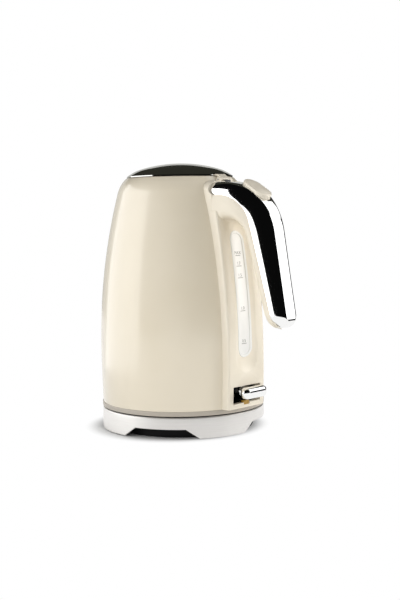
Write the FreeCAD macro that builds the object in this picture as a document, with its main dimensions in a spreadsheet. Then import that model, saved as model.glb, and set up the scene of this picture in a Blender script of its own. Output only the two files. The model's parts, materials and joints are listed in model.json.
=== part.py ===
import FreeCAD, Part
import math
import operator
import os

import Sketcher
from FreeCAD import Placement, Rotation, Vector

os.makedirs("parts", exist_ok=True)

# Driving sizes of a cordless kettle on its power base, in millimetres, degrees and counts.
# The jug's axis is Z, the table is Z = 0 and the handle is on the +X side.
SIZES = {
    # gaps
    "seat_gap": 0.15,  # between pieces that sit on each other
    "free_gap": 0.4,  # between pieces that move past each other
    # power base
    "foot_stand": 1.0,  # table to the skirt's lower edge
    "base_inset": 0.2,  # the base is this much inside the jug's belly
    "skirt_taper": 0.6,
    "skirt_height": 18.7,
    "skirt_wall": 1.2,
    "skirt_lip": 2.4,
    "arch_count": 4,
    "arch_height": 8.3,
    "arch_foot_width": 70.2,
    "arch_head_width": 47.0,
    "arch_turn": 28.2,  # the base's turn against the handle
    "deck_rise": 0.8,
    "deck_wall": 2.2,
    "deck_land": 14.0,
    "deck_dish": 0.8,
    "floor_level": 11.0,
    "floor_wall": 2.0,
    "plinth_inset": 11.0,
    "plinth_wall": 7.0,
    "plinth_stand": 0.7,
    "foot_width": 4.2,
    "foot_sink": 0.5,
    "gland_height": 5.8,
    "gland_bore": 3.3,
    "gland_wall": 0.8,
    "gland_lip": 0.5,
    "earth_radius": 4.2,
    "socket_core": 4.0,
    "socket_slot": 2.4,
    "socket_wall": 3.9,
    "socket_rise": 9.3,
    "socket_flange": 3.0,
    "slot_depth": 13.0,
    "contact_wall": 0.6,
    "base_screw_inset": 8.0,  # plinth to the screws' circle
    "screw_count": 3,
    "screw_first": 60.0,
    "screw_radius": 1.5,
    "screw_head_radius": 2.8,
    "screw_head_height": 1.4,
    "boss_wall": 2.2,
    # jug
    "stand_gap": 0.3,  # between the deck and the jug above it
    "weld_gap": 0.02,  # between a piece and the shell that it is welded or bonded to
    "ring_height": 4.3,
    "ring_proud": 0.6,
    "ring_tongue": 2.5,
    "ring_wall": 2.4,
    "foot_tuck": 1.0,  # the jug's foot is this much inside its belly
    "belly_radius": 76.2,
    "belly_rise": 50.9,
    "jug_height": 205.4,  # trim ring to mouth
    "barrel_arc": 555.0,
    "shoulder_drop": 13.5,
    "mouth_inset": 8.0,
    "jug_wall": 0.8,
    "cover_wall": 2.2,
    "plate_rise": 28.9,  # trim ring to the vessel's floor
    "plate_wall": 1.0,
    "plate_flange": 8.0,
    "spreader_wall": 3.0,
    "spreader_inset": 29.0,
    "element_inset": 36.2,
    "element_tube": 3.6,
    "element_sweep": 310.0,
    "element_tail": 9.0,
    "coupler_wall": 3.2,
    "coupler_roof": 2.5,
    "coupler_flange": 3.5,
    "coupler_reach": 1.2,
    "control_radius": 24.0,
    "disc_radius": 8.5,
    "disc_spread": 13.0,
    "disc_height": 1.0,
    "disc_seat": 1.0,
    # mouth, spout and filter
    "collar_wall": 2.2,
    "collar_depth": 8.0,
    "collar_inset": 1.0,
    "collar_drop": 0.9,
    "spout_rise": 36.0,
    "spout_drop": 2.0,
    "spout_reach": 11.5,
    "spout_half_width": 22.0,
    "spout_tip": 6.0,
    "spout_wall": 1.0,
    "spout_back": 13.0,
    "spout_blunt": 3.5,
    "spout_root": 3.0,
    "spout_root_reach": 5.0,
    "spout_root_half": 5.0,
    "spout_root_tip": 2.0,
    "spout_gate": 22.0,
    "filter_wall": 1.6,
    "filter_rim": 2.5,
    "filter_bars": 8,
    "filter_sill": 1.5,
    "filter_step": 4.4,
    # handle housing
    "housing_half_width": 23.75,
    "housing_foot_proud": 4.3,
    "housing_head_proud": 6.8,
    "housing_arc": 700.0,
    "housing_round": 9.0,
    "housing_edge": 2.0,
    "housing_back": 6.0,
    "housing_blunt": 2.0,
    "scoop_floor": 1.2,
    "scoop_radius": 36.5,
    "scoop_low": 46.0,
    "scoop_high": 168.0,
    "scoop_end": 0.15,
    # gauge
    "gauge_low": 44.5,
    "gauge_length": 112.4,
    "gauge_half_width": 9.0,
    "gauge_step": 0.4,
    "gauge_depth": 2.4,
    "gasket_wall": 1.4,
    # switch
    "notch_half_width": 18.0,
    "notch_sill": 4.4,
    "notch_height": 15.3,
    "lever_rise": 14.3,
    "lever_length": 27.0,
    "lever_pivot_inset": 15.2,
    "lever_bar_radius": 5.1,
    "lever_bar_half": 14.8,
    "lever_stem_radius": 4.2,
    "lever_hub_half": 7.0,
    "lever_pin_radius": 1.5,
    "pin_clearance": 0.05,
    "switch_cheek": 2.6,
    "cheek_reach": 6.0,
    "bracket_reach": 16.0,
    "bracket_wall": 3.0,
    "bracket_roof": 2.2,
    "bracket_rise": 3.0,
    "lever_side_gap": 1.0,
    "lens_half_width": 4.0,
    "lens_height": 3.6,
    "lens_depth": 7.5,
    "lamp_radius": 1.7,
    "lamp_length": 9.0,
    # handle
    "arm_drop": 4.7,
    "arm_start": 0.3,
    "cover_depth": 12.1,
    "cover_arc": 52.0,
    "cover_corner": 35.1,
    "cover_lean": 0.171,
    "liner_depth": 7.6,
    "arm_depth": 14.5,  # the arm under the parting, at its root
    "inner_arc": 20.0,
    "liner_arc": 30.0,
    "liner_corner": 15.2,
    "liner_lean": 0.254,
    "grip_length": 128.3,
    "grip_half_width": 13.0,
    "ogee_length": 44.0,
    "cover_edge": 7.5,
    "liner_edge": 4.5,
    "tip_round": 12.5,
    "cover_wall_depth": 2.0,
    # lid button and latch
    "button_angle": 31.0,
    "button_half_length": 15.2,
    "button_half_width": 9.0,
    "button_proud": 4.0,
    "button_sunk": 6.0,
    "button_edge": 3.0,
    "latch_half_width": 3.0,
    "latch_height": 2.4,
    "latch_travel": 3.0,
    "latch_reach": 13.0,
    "latch_way": 1.0,
    "latch_rise": 4.0,
    # lid
    "lid_gap": 0.4,
    "lid_inset": 0.6,
    "lid_rim": 1.2,
    "lid_rise": 11.9,
    "lid_cap_arc": 128.0,
    "lid_cap_radius": 36.0,
    "lid_wall": 0.8,
    "lid_plug": 8.0,
    "seal_height": 2.6,
    "seal_width": 1.8,
    "seal_drop": 4.8,
    "hinge_out": 6.0,
    "hinge_drop": 3.0,
    "hinge_pin_radius": 1.0,
    "knuckle_wall": 1.0,
    "knuckle_half": 5.0,
    "ear_width": 3.0,
    "ear_root": 1.0,
    "leaf_wall": 1.4,
    "leaf_way": 4.0,
    "leaf_gap": 0.1,
    "leaf_root": 1.0,
    "leaf_back": 1.8,
    "leaf_rise": 0.8,
    "leaf_crown": 1.4,
    "flange_edge": 0.4,
    "flange_bevel": 2.0,
    # steam tube
    "tube_radius": 3.6,
    "tube_wall": 0.9,
    "tube_aside": 15.0,
    "tube_drop": 3.0,
}


class Size:
    """A number that carries the sheet expression it comes from."""

    def __init__(self, value, text):
        self.value = value
        self.text = text

    def __add__(self, other):
        return combine(operator.add, "+", self, other)

    def __radd__(self, other):
        return combine(operator.add, "+", other, self)

    def __sub__(self, other):
        return combine(operator.sub, "-", self, other)

    def __rsub__(self, other):
        return combine(operator.sub, "-", other, self)

    def __mul__(self, other):
        return combine(operator.mul, "*", self, other)

    def __rmul__(self, other):
        return combine(operator.mul, "*", other, self)

    def __truediv__(self, other):
        return combine(operator.truediv, "/", self, other)

    def __rtruediv__(self, other):
        return combine(operator.truediv, "/", other, self)

    def __neg__(self):
        return 0 - self


def sized(number):
    """A plain number as a Size."""
    return number if isinstance(number, Size) else Size(float(number), f"{float(number)}")


def combine(work, sign, left, right):
    left = sized(left)
    right = sized(right)
    return Size(work(left.value, right.value), f"({left.text} {sign} {right.text})")


def root(size):
    return Size(math.sqrt(size.value), f"sqrt({size.text})")


def sine(angle):
    return Size(math.sin(math.radians(angle.value)), f"sin({angle.text} * 1 deg)")


def cosine(angle):
    return Size(math.cos(math.radians(angle.value)), f"cos({angle.text} * 1 deg)")


def arc_sine(size):
    """The angle in degrees whose sine is given."""
    return Size(math.degrees(math.asin(size.value)), f"(asin({size.text}) / 1 deg)")


doc = FreeCAD.newDocument("electric_kettle")
sheet = doc.addObject("Spreadsheet::Sheet", "Sizes")


class Dims:
    """Each driving size by name."""


for row, (alias, number) in enumerate(SIZES.items(), start=1):
    sheet.set(f"A{row}", str(number))
    sheet.setAlias(f"A{row}", alias)
    setattr(Dims, alias, Size(float(number), f"Sizes.{alias}"))
doc.recompute()
d = Dims

# Heights above the table and radii about the jug's axis that several pieces share
skirt_top = d.foot_stand + d.skirt_height
base_radius = d.belly_radius - d.base_inset
skirt_top_radius = base_radius - d.skirt_taper
lip_radius = skirt_top_radius - d.skirt_lip
deck_top = skirt_top + d.deck_rise
floor_top = d.floor_level + d.floor_wall
plinth_radius = base_radius - d.plinth_inset
plinth_in = plinth_radius - d.plinth_wall
base_screw_circle = plinth_in - d.base_screw_inset
socket_radius = d.earth_radius + d.socket_core + d.socket_slot + d.socket_wall
socket_top = deck_top + d.socket_rise
jug_low = deck_top + d.stand_gap
ring_top = jug_low + d.ring_height
cover_top = jug_low + d.cover_wall
belly = ring_top + d.belly_rise
mouth = ring_top + d.jug_height
shoulder = mouth - d.shoulder_drop
foot_radius = d.belly_radius - d.foot_tuck
plate_level = ring_top + d.plate_rise
spreader_low = plate_level - d.spreader_wall
arm_top = mouth - d.arm_drop
parting = arm_top - d.cover_depth
arm_low = parting - d.arm_depth
grip_tip = arm_top - d.grip_length
lever_height = ring_top + d.lever_rise


# The jug's outline: a lower arc from foot to belly, a barrel arc to the shoulder, a shoulder arc to the mouth
lower_arc = (d.belly_rise * d.belly_rise + d.foot_tuck * d.foot_tuck) / (2 * d.foot_tuck)
shoulder_rise = d.jug_height - d.shoulder_drop - d.belly_rise
shoulder_run = root(d.barrel_arc * d.barrel_arc - shoulder_rise * shoulder_rise)
shoulder_radius = d.belly_radius - d.barrel_arc + shoulder_run
mouth_radius = shoulder_radius - d.mouth_inset
shoulder_out = shoulder_run / d.barrel_arc
shoulder_up = shoulder_rise / d.barrel_arc
shoulder_arc = (d.mouth_inset * d.mouth_inset + d.shoulder_drop * d.shoulder_drop) / (
    2 * (shoulder_out * d.mouth_inset - shoulder_up * d.shoulder_drop)
)


def lower_radius(height, offset):
    """The lower arc's radius at a height, offset outward."""
    rise = height - belly
    arc = lower_arc + offset
    return d.belly_radius - lower_arc + root(arc * arc - rise * rise)


def shoulder_at(drop, offset):
    """The shoulder arc's radius at a drop below the mouth, offset outward."""
    arc = shoulder_arc + offset
    rise = d.shoulder_drop - drop + shoulder_up * shoulder_arc
    return shoulder_radius - shoulder_out * shoulder_arc + root(arc * arc - rise * rise)


def jug_path(offset):
    """Steps up the jug's outline from its foot, offset outward."""
    return (
        (foot_radius + offset, ring_top),
        (d.belly_radius + offset, belly, lower_arc + offset, 1),
        (shoulder_radius + shoulder_out * offset, shoulder + shoulder_up * offset, d.barrel_arc + offset, 1),
        (shoulder_at(0, offset), mouth, shoulder_arc + offset, 1),
    )


lid_radius = mouth_radius - d.lid_inset
hinge_x = mouth_radius + d.hinge_out
hinge_z = mouth - d.hinge_drop
pivot_x = d.belly_radius - d.lever_pivot_inset
cover_corner_x = d.belly_radius + d.cover_corner
liner_corner_x = d.belly_radius + d.liner_corner
arm_start_x = shoulder_radius + d.arm_start
pieces = []


def body(label):
    made = doc.addObject("PartDesign::Body", label)
    made.Label = label
    return made


def keep(piece):
    """Note a finished sub-part, to be checked and written."""
    pieces.append(piece)
    return piece


def origin_feature(owner, role):
    return next(item for item in owner.Origin.OriginFeatures if item.Role == role)


def sketch(owner, plane, x=None, y=None, z=None, turned=None):
    """A sketch on one of its body's own planes, moved in the plane's axes and turned about their y."""
    made = owner.newObject("Sketcher::SketchObject", f"{owner.Name}_sketch")
    made.AttachmentSupport = [(origin_feature(owner, plane), "")]
    made.MapMode = "FlatFace"
    if turned is not None:
        made.AttachmentOffset = Placement(Vector(), Rotation(Vector(0, 1, 0), turned.value))
        made.setExpression("AttachmentOffset.Rotation.Angle", f"{turned.text} * 1 deg")
    for axis, offset in (("x", x), ("y", y), ("z", z)):
        if offset is not None:
            made.setExpression(f"AttachmentOffset.Base.{axis}", sized(offset).text)
    return made


def bind(drawing, constraint, size):
    index = drawing.addConstraint(constraint)
    drawing.setExpression(f"Constraints[{index}]", size.text)


def pin(drawing, line, end, x, y):
    """Hold one end of a line at x, y."""
    for kind, axis, size in (("DistanceX", -2, sized(x)), ("DistanceY", -1, sized(y))):
        if size.text == "0.0":
            drawing.addConstraint(Sketcher.Constraint("PointOnObject", line, end, axis))
        else:
            bind(drawing, Sketcher.Constraint(kind, line, end, size.value), size)


def arc_between(a, b, radius, turn):
    """An arc from a to b, with its centre on the left for turn 1 and on the right for turn -1."""
    chord = b - a
    aside = math.sqrt(max(radius * radius - chord.Length**2 / 4, 0))
    centre = a + chord * 0.5 + Vector(-chord.y, chord.x, 0).normalize() * aside * turn
    first, last = (a, b) if turn > 0 else (b, a)
    angles = [math.atan2(p.y - centre.y, p.x - centre.x) for p in (first, last)]
    return Part.ArcOfCircle(Part.Circle(centre, Vector(0, 0, 1), radius), *angles)


def outline(drawing, start, *steps):
    """A closed outline. A step is (x, y), or (x, y, radius, turn) for an arc; a line closes it."""
    corners = [start] + [step[:2] for step in steps]
    spots = [Vector(sized(x).value, sized(y).value, 0) for x, y in corners]
    lines = []
    for i, step in enumerate(list(steps) + [start]):
        a = spots[i]
        b = spots[(i + 1) % len(spots)]
        if len(step) == 2:
            lines.append((drawing.addGeometry(Part.LineSegment(a, b), False), 1, 2))
        else:
            radius, turn = step[2:]
            line = drawing.addGeometry(arc_between(a, b, sized(radius).value, turn), False)
            lines.append((line, 1, 2) if turn > 0 else (line, 2, 1))
            bind(drawing, Sketcher.Constraint("Radius", line, sized(radius).value), sized(radius))
    for i, (line, begin, end) in enumerate(lines):
        following, next_begin, _ = lines[(i + 1) % len(lines)]
        drawing.addConstraint(Sketcher.Constraint("Coincident", line, end, following, next_begin))
        pin(drawing, line, begin, *corners[i])
    return drawing


def circle(drawing, x, y, radius):
    spot = Vector(sized(x).value, sized(y).value, 0)
    line = drawing.addGeometry(Part.Circle(spot, Vector(0, 0, 1), radius.value), False)
    pin(drawing, line, 3, x, y)
    bind(drawing, Sketcher.Constraint("Radius", line, radius.value), radius)
    return drawing


def box_outline(drawing, left, low, right, high):
    return outline(drawing, (left, low), (right, low), (right, high), (left, high))


def stadium(drawing, low, high, half, flat=False):
    """A slot with round ends on the sketch's vertical axis, or flat on its horizontal one."""
    if flat:
        return outline(
            drawing,
            (high - half, -half),
            (high, 0, half, 1),
            (high - half, half, half, 1),
            (low + half, half),
            (low, 0, half, 1),
            (low + half, -half, half, 1),
        )
    return outline(
        drawing,
        (half, high - half),
        (0, high, half, 1),
        (-half, high - half, half, 1),
        (-half, low + half),
        (0, low, half, 1),
        (half, low + half, half, 1),
    )


def feature(owner, kind, **settings):
    made = owner.newObject(f"PartDesign::{kind}", f"{owner.Name}_{kind}")
    for name, setting in settings.items():
        if isinstance(setting, Size):
            made.setExpression(name, setting.text)
        else:
            setattr(made, name, setting)
    return made


def turn(owner, start, *steps):
    """Material turned about the jug's axis."""
    drawing = outline(sketch(owner, "XZ_Plane"), start, *steps)
    return feature(owner, "Revolution", Profile=drawing, ReferenceAxis=(drawing, ["V_Axis"]), Angle=360.0)


def turn_away(owner, start, *steps):
    """A cut turned about the jug's axis."""
    drawing = outline(sketch(owner, "XZ_Plane"), start, *steps)
    return feature(owner, "Groove", Profile=drawing, ReferenceAxis=(drawing, ["V_Axis"]), Angle=360.0)


def pad(owner, drawing, length, **settings):
    return feature(owner, "Pad", Profile=drawing, Length=sized(length), **settings)


def pad_both(owner, drawing, half):
    return pad(owner, drawing, 2 * half, Midplane=True)


def cut(owner, drawing, length, **settings):
    return feature(owner, "Pocket", Profile=drawing, Length=sized(length), **settings)


def cut_both(owner, drawing, half):
    return cut(owner, drawing, 2 * half, Midplane=True)


def around(owner, count, *originals):
    """Repeat features evenly about the jug's axis."""
    axis = (origin_feature(owner, "Z_Axis"), [""])
    settings = {"Originals": list(originals), "Axis": axis, "Angle": 360.0, "Occurrences": count}
    made = feature(owner, "PolarPattern", **settings)
    owner.Tip = made
    return made


def round_edges(owner, radius, test):
    """Round the edges that pass a test."""
    doc.recompute()
    base = owner.Tip
    names = [f"Edge{i}" for i, edge in enumerate(base.Shape.Edges, start=1) if test(edge)]
    if not names:
        raise RuntimeError(f"no edges to round on {owner.Label}")
    return feature(owner, "Fillet", Base=(base, names), Radius=radius)


def samples(edge):
    """Points along an edge."""
    first, last = edge.ParameterRange
    return [edge.valueAt(first + (last - first) * i / 4) for i in range(5)]


def near(a, b):
    return abs(a - b) < 0.01


def clear_inside(owner, offset):
    """Take away everything inside the jug's outline, offset outward."""
    steps = jug_path(offset)
    low = ring_top - 10
    turn_away(owner, (0, low), (foot_radius + offset, low), *steps, (0, mouth))


def clear_outside(owner, offset):
    """Take away everything outside the jug's outline, offset outward."""
    steps = jug_path(offset)
    low = ring_top - 10
    far = 2 * d.belly_radius
    turn_away(owner, (far, low), (foot_radius + offset, low), *steps, (far, mouth))


# Power base: a formed steel skirt with four arches
base_skirt = keep(body("base_skirt"))
skirt_in = base_radius - d.skirt_wall
lip_low = skirt_top - d.skirt_wall
turn(
    base_skirt,
    (base_radius, d.foot_stand),
    (skirt_top_radius, skirt_top),
    (lip_radius, skirt_top),
    (lip_radius, lip_low),
    (skirt_top_radius - d.skirt_wall, lip_low),
    (skirt_in, d.foot_stand),
)
arch = outline(
    sketch(base_skirt, "XZ_Plane", turned=d.arch_turn),
    (-d.arch_foot_width / 2, d.foot_stand),
    (d.arch_foot_width / 2, d.foot_stand),
    (d.arch_head_width / 2, d.foot_stand + d.arch_height),
    (-d.arch_head_width / 2, d.foot_stand + d.arch_height),
)
arch_cut = cut(base_skirt, arch, 2 * base_radius)
around(base_skirt, d.arch_count, arch_cut)

# Deck that closes the skirt, with screw bosses below it
base_deck = keep(body("base_deck"))
deck_radius = lip_radius - d.seat_gap
deck_dip = deck_top - d.deck_dish
deck_low = deck_dip - d.deck_wall
land_in = deck_radius - d.deck_land
boss_radius = d.screw_radius + d.boss_wall
turn(
    base_deck,
    (socket_radius + d.seat_gap, deck_dip),
    (land_in, deck_dip),
    (land_in + d.deck_dish, deck_top),
    (deck_radius, deck_top),
    (deck_radius, lip_low),
    (deck_radius + d.skirt_wall, lip_low),
    (deck_radius + d.skirt_wall, lip_low - d.skirt_wall),
    (deck_radius, lip_low - d.skirt_wall),
    (deck_radius, d.floor_level),
    (deck_radius - d.deck_wall, d.floor_level),
    (deck_radius - d.deck_wall, deck_low),
    (socket_radius + d.seat_gap, deck_low),
)
boss = circle(sketch(base_deck, "XY_Plane", z=floor_top), base_screw_circle, 0, boss_radius)
boss_pad = pad(base_deck, boss, deck_low - floor_top + d.deck_wall / 2)
hole = circle(sketch(base_deck, "XY_Plane", z=floor_top), base_screw_circle, 0, d.screw_radius)
boss_hole = cut(base_deck, hole, deck_low - floor_top, Reversed=True)
around(base_deck, d.screw_count, boss_pad, boss_hole)

# Floor with the ring plinth that carries the foot
base_floor = keep(body("base_floor"))
foot_middle = plinth_radius - d.plinth_wall / 2
foot_top = d.plinth_stand + d.foot_sink
floor_radius = deck_radius - d.deck_wall - d.seat_gap
turn(
    base_floor,
    (0, d.floor_level),
    (plinth_in, d.floor_level),
    (plinth_in, d.plinth_stand),
    (foot_middle - d.foot_width / 2, d.plinth_stand),
    (foot_middle - d.foot_width / 2, foot_top),
    (foot_middle + d.foot_width / 2, foot_top),
    (foot_middle + d.foot_width / 2, d.plinth_stand),
    (plinth_radius, d.plinth_stand),
    (plinth_radius, d.floor_level),
    (floor_radius, d.floor_level),
    (floor_radius, floor_top),
    (0, floor_top),
)
gland_sleeve = d.gland_bore + d.gland_wall
gland_way = sketch(base_floor, "XZ_Plane", turned=d.arch_turn)
gland_hole = circle(gland_way, 0, d.gland_height, gland_sleeve + d.weld_gap)
cut(base_floor, gland_hole, base_radius)
screw_way = sketch(base_floor, "XY_Plane", z=floor_top)
floor_hole = circle(screw_way, base_screw_circle, 0, d.screw_radius + d.seat_gap)
floor_cut = cut(base_floor, floor_hole, d.floor_wall)
around(base_floor, d.screw_count, floor_cut)

# Soft foot in the plinth's groove
foot_ring = keep(body("foot_ring"))
turn(
    foot_ring,
    (foot_middle - d.foot_width / 2 + d.seat_gap, 0),
    (foot_middle + d.foot_width / 2 - d.seat_gap, 0),
    (foot_middle + d.foot_width / 2 - d.seat_gap, foot_top),
    (foot_middle - d.foot_width / 2 + d.seat_gap, foot_top),
)

# Gland through the plinth, behind one arch, where a cord would enter
cord_gland = keep(body("cord_gland"))
gland_out = gland_sleeve + d.gland_lip
gland_seat = root(plinth_in * plinth_in - gland_out * gland_out) - d.weld_gap
gland = outline(
    sketch(cord_gland, "YZ_Plane", y=d.gland_height, turned=d.arch_turn),
    (gland_seat - d.floor_wall, d.gland_bore),
    (plinth_radius + d.floor_wall, d.gland_bore),
    (plinth_radius + d.floor_wall, gland_out),
    (plinth_radius, gland_out),
    (plinth_radius, gland_sleeve),
    (gland_seat, gland_sleeve),
    (gland_seat, gland_out),
    (gland_seat - d.floor_wall, gland_out),
)
feature(cord_gland, "Revolution", Profile=gland, ReferenceAxis=(gland, ["H_Axis"]), Angle=360.0)

# Round connector in the middle of the base, and its two contacts
base_socket = keep(body("base_socket"))
slot_in = d.earth_radius + d.socket_core
slot_out = slot_in + d.socket_slot
slot_low = socket_top - d.slot_depth
socket_flange = socket_radius + d.socket_flange
turn(
    base_socket,
    (0, floor_top),
    (socket_flange, floor_top),
    (socket_flange, deck_low),
    (socket_radius, deck_low),
    (socket_radius, socket_top),
    (slot_out, socket_top),
    (slot_out, slot_low),
    (slot_in, slot_low),
    (slot_in, socket_top),
    (d.earth_radius, socket_top),
    (d.earth_radius, slot_low),
    (0, slot_low),
)


def tube(label, inner, outer, low, high):
    """A plain tube about the jug's axis."""
    made = keep(body(label))
    turn(made, (inner, low), (outer, low), (outer, high), (inner, high))
    return made


contact_top = socket_top - d.contact_wall
tube("earth_contact", d.earth_radius - d.contact_wall, d.earth_radius, slot_low, contact_top)
tube("live_contact", slot_in, slot_in + d.contact_wall, slot_low, contact_top)


def screws(label, circle_radius, head_low, grip, first):
    """Screws that point up, evenly about the jug's axis."""
    made = keep(body(label))
    head_top = head_low + d.screw_head_height
    drawing = sketch(made, "XZ_Plane", x=circle_radius, turned=first)
    if first is not None:
        drawing.setExpression("AttachmentOffset.Base.x", (circle_radius * cosine(first)).text)
        drawing.setExpression("AttachmentOffset.Base.z", (-circle_radius * sine(first)).text)
    outline(
        drawing,
        (0, head_low),
        (d.screw_head_radius, head_low),
        (d.screw_head_radius, head_top),
        (d.screw_radius, head_top),
        (d.screw_radius, head_top + grip),
        (0, head_top + grip),
    )
    one = feature(made, "Revolution", Profile=drawing, ReferenceAxis=(drawing, ["V_Axis"]), Angle=360.0)
    around(made, d.screw_count, one)
    return made


base_screw_grip = d.floor_wall + d.deck_wall
screws("base_screws", base_screw_circle, d.floor_level - d.screw_head_height, base_screw_grip, None)

# Turning connector under the jug, and its two blades
coupler_plug = keep(body("coupler_plug"))
plug_in = socket_radius + 2 * d.free_gap
plug_out = plug_in + d.coupler_wall
plug_low = jug_low + d.free_gap
roof_low = socket_top + d.coupler_reach
roof_top = roof_low + d.coupler_roof
plug_flange_low = cover_top + d.free_gap
turn(
    coupler_plug,
    (plug_in, plug_low),
    (plug_out, plug_low),
    (plug_out, plug_flange_low),
    (plug_out + d.coupler_flange, plug_flange_low),
    (plug_out + d.coupler_flange, plug_flange_low + d.coupler_reach),
    (plug_out, plug_flange_low + d.coupler_reach),
    (plug_out, roof_top),
    (0, roof_top),
    (0, roof_low),
    (plug_in, roof_low),
)
blade_in = slot_in + d.contact_wall + d.free_gap
blade_out = slot_out - d.free_gap - d.seat_gap
pin_out = d.earth_radius - d.contact_wall - d.free_gap - d.seat_gap
tube("coupler_blade", blade_in, blade_out, slot_low + 6 * d.coupler_reach, roof_low)
tube("coupler_pin", 0, pin_out, slot_low + 5 * d.coupler_reach, roof_low)

# Cover under the jug, trim ring round it, and the screws between them
tongue_out = foot_radius - d.jug_wall - d.seat_gap
tongue_in = tongue_out - d.ring_wall
tongue_top = ring_top + d.ring_tongue
cover_radius = tongue_out - d.ring_wall / 2
lug_circle = tongue_in - boss_radius + d.screw_head_height
jug_bottom_cover = keep(body("jug_bottom_cover"))
cover_hole = plug_out + d.free_gap
turn(
    jug_bottom_cover,
    (cover_hole, jug_low),
    (cover_radius, jug_low),
    (cover_radius, cover_top),
    (cover_hole, cover_top),
)


def at_lug(owner, radius, level):
    """A circle on the first screw's axis."""
    drawing = sketch(owner, "XY_Plane", z=level)
    return circle(drawing, lug_circle * cosine(d.screw_first), lug_circle * sine(d.screw_first), radius)


head_well = cut(
    jug_bottom_cover,
    at_lug(jug_bottom_cover, d.screw_head_radius + d.seat_gap, jug_low),
    d.screw_head_height,
    Reversed=True,
)
shank_way = at_lug(jug_bottom_cover, d.screw_radius + d.seat_gap, jug_low)
shank_well = cut(jug_bottom_cover, shank_way, d.cover_wall, Reversed=True)
around(jug_bottom_cover, d.screw_count, head_well, shank_well)

jug_base_ring = keep(body("jug_base_ring"))
turn(
    jug_base_ring,
    (cover_radius + d.seat_gap, jug_low),
    (foot_radius + d.ring_proud, jug_low),
    (foot_radius + d.ring_proud, ring_top),
    (tongue_out, ring_top),
    (tongue_out, tongue_top),
    (tongue_in, tongue_top),
    (tongue_in, cover_top),
    (cover_radius + d.seat_gap, cover_top),
)
lug_height = tongue_top - cover_top
lug = pad(jug_base_ring, at_lug(jug_base_ring, boss_radius, cover_top), lug_height)
lug_hole = cut(jug_base_ring, at_lug(jug_base_ring, d.screw_radius, cover_top), lug_height, Reversed=True)
around(jug_base_ring, d.screw_count, lug, lug_hole)
screws("cover_screws", lug_circle, jug_low, lug_height, d.screw_first)

# Jug shell with its openings for the spout, the gauge and the switch lever
jug_shell = keep(body("jug_shell"))
inside = jug_path(-d.jug_wall)
turn(
    jug_shell,
    *jug_path(sized(0)),
    inside[3][:2],
    (*inside[2][:2], inside[3][2], -1),
    (*inside[1][:2], inside[2][2], -1),
    (*inside[0][:2], inside[1][2], -1),
)
gauge_low = ring_top + d.gauge_low
gauge_high = gauge_low + d.gauge_length
gasket_half = d.gauge_half_width + d.gasket_wall
gate_top = mouth - d.collar_depth
gate_low = gate_top - d.spout_gate
slot_half = d.lever_hub_half + d.lever_side_gap
notch_low = ring_top + d.notch_sill
notch_high = notch_low + d.notch_height


def gate_outline(owner, rim):
    """The spout's gate in the wall, seen along X, grown by a rim."""
    return outline(
        sketch(owner, "YZ_Plane"),
        (-d.spout_tip - rim, gate_low - rim),
        (d.spout_tip + rim, gate_low - rim),
        (d.spout_half_width - d.spout_tip + rim, gate_top),
        (-d.spout_half_width + d.spout_tip - rim, gate_top),
    )


cut(jug_shell, gate_outline(jug_shell, sized(0)), 2 * d.belly_radius)
gasket_low = gauge_low - d.gasket_wall
gasket_high = gauge_high + d.gasket_wall
gauge_gate = stadium(sketch(jug_shell, "YZ_Plane"), gasket_low, gasket_high, gasket_half)
cut(jug_shell, gauge_gate, 2 * d.belly_radius, Reversed=True)
slot_high = notch_high + d.seat_gap
lever_gate = box_outline(sketch(jug_shell, "YZ_Plane"), -slot_half, tongue_top, slot_half, slot_high)
cut(jug_shell, lever_gate, 2 * d.belly_radius, Reversed=True)
screw_height = notch_high + 2 * d.screw_head_radius
screw_aside = d.notch_half_width - 2 * d.screw_head_radius


def housing_screw_holes(owner, radius):
    """Two holes along X beside the middle plane, above the notch."""
    for side in (-1, 1):
        drawing = circle(sketch(owner, "YZ_Plane"), side * screw_aside, screw_height, radius)
        cut(owner, drawing, d.belly_radius + d.housing_foot_proud / 2, Reversed=True)


housing_screw_holes(jug_shell, d.screw_radius + d.seat_gap)

# Vessel floor with its upturned flange, welded inside the shell
heater_plate = keep(body("heater_plate"))
plate_top = plate_level + d.plate_wall
flange_top = plate_level + d.plate_flange
plate_radius = lower_radius(plate_level, -d.jug_wall) - d.weld_gap
flange_radius = lower_radius(flange_top, -d.jug_wall) - d.weld_gap
turn(
    heater_plate,
    (0, plate_level),
    (plate_radius, plate_level),
    (flange_radius, flange_top),
    (flange_radius - d.plate_wall, flange_top),
    (plate_radius - d.plate_wall, plate_top),
    (0, plate_top),
)
tube_x = mouth_radius
tube_hole = circle(sketch(heater_plate, "XY_Plane", z=plate_level), tube_x, d.tube_aside, d.tube_radius)
cut(heater_plate, tube_hole, d.plate_wall, Reversed=True)

# Heat spreader, heating element and control under the vessel floor
element_radius = d.belly_radius - d.element_inset
spreader_radius = d.belly_radius - d.spreader_inset
tube("heat_spreader", 0, spreader_radius, spreader_low, plate_level)
heating_element = keep(body("heating_element"))
element_level = spreader_low - d.element_tube
torus = feature(
    heating_element,
    "AdditiveTorus",
    Radius1=element_radius,
    Radius2=d.element_tube,
    Angle3=d.element_sweep,
    AttachmentSupport=[(origin_feature(heating_element, "XY_Plane"), "")],
    MapMode="FlatFace",
)
torus.setExpression("AttachmentOffset.Base.z", element_level.text)
for angle in (sized(0), d.element_sweep):
    spot = sketch(heating_element, "XY_Plane", z=element_level)
    circle(spot, element_radius * cosine(angle), element_radius * sine(angle), d.element_tube / 2)
    pad(heating_element, spot, d.element_tail, Reversed=True)
control_unit = keep(body("control_unit"))
control_low = roof_top + d.free_gap
control_top = element_level - d.element_tube
disc_low = spreader_low - d.disc_height
turn(
    control_unit,
    (0, control_low),
    (d.control_radius, control_low),
    (d.control_radius, control_top),
    (0, control_top),
)
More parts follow.
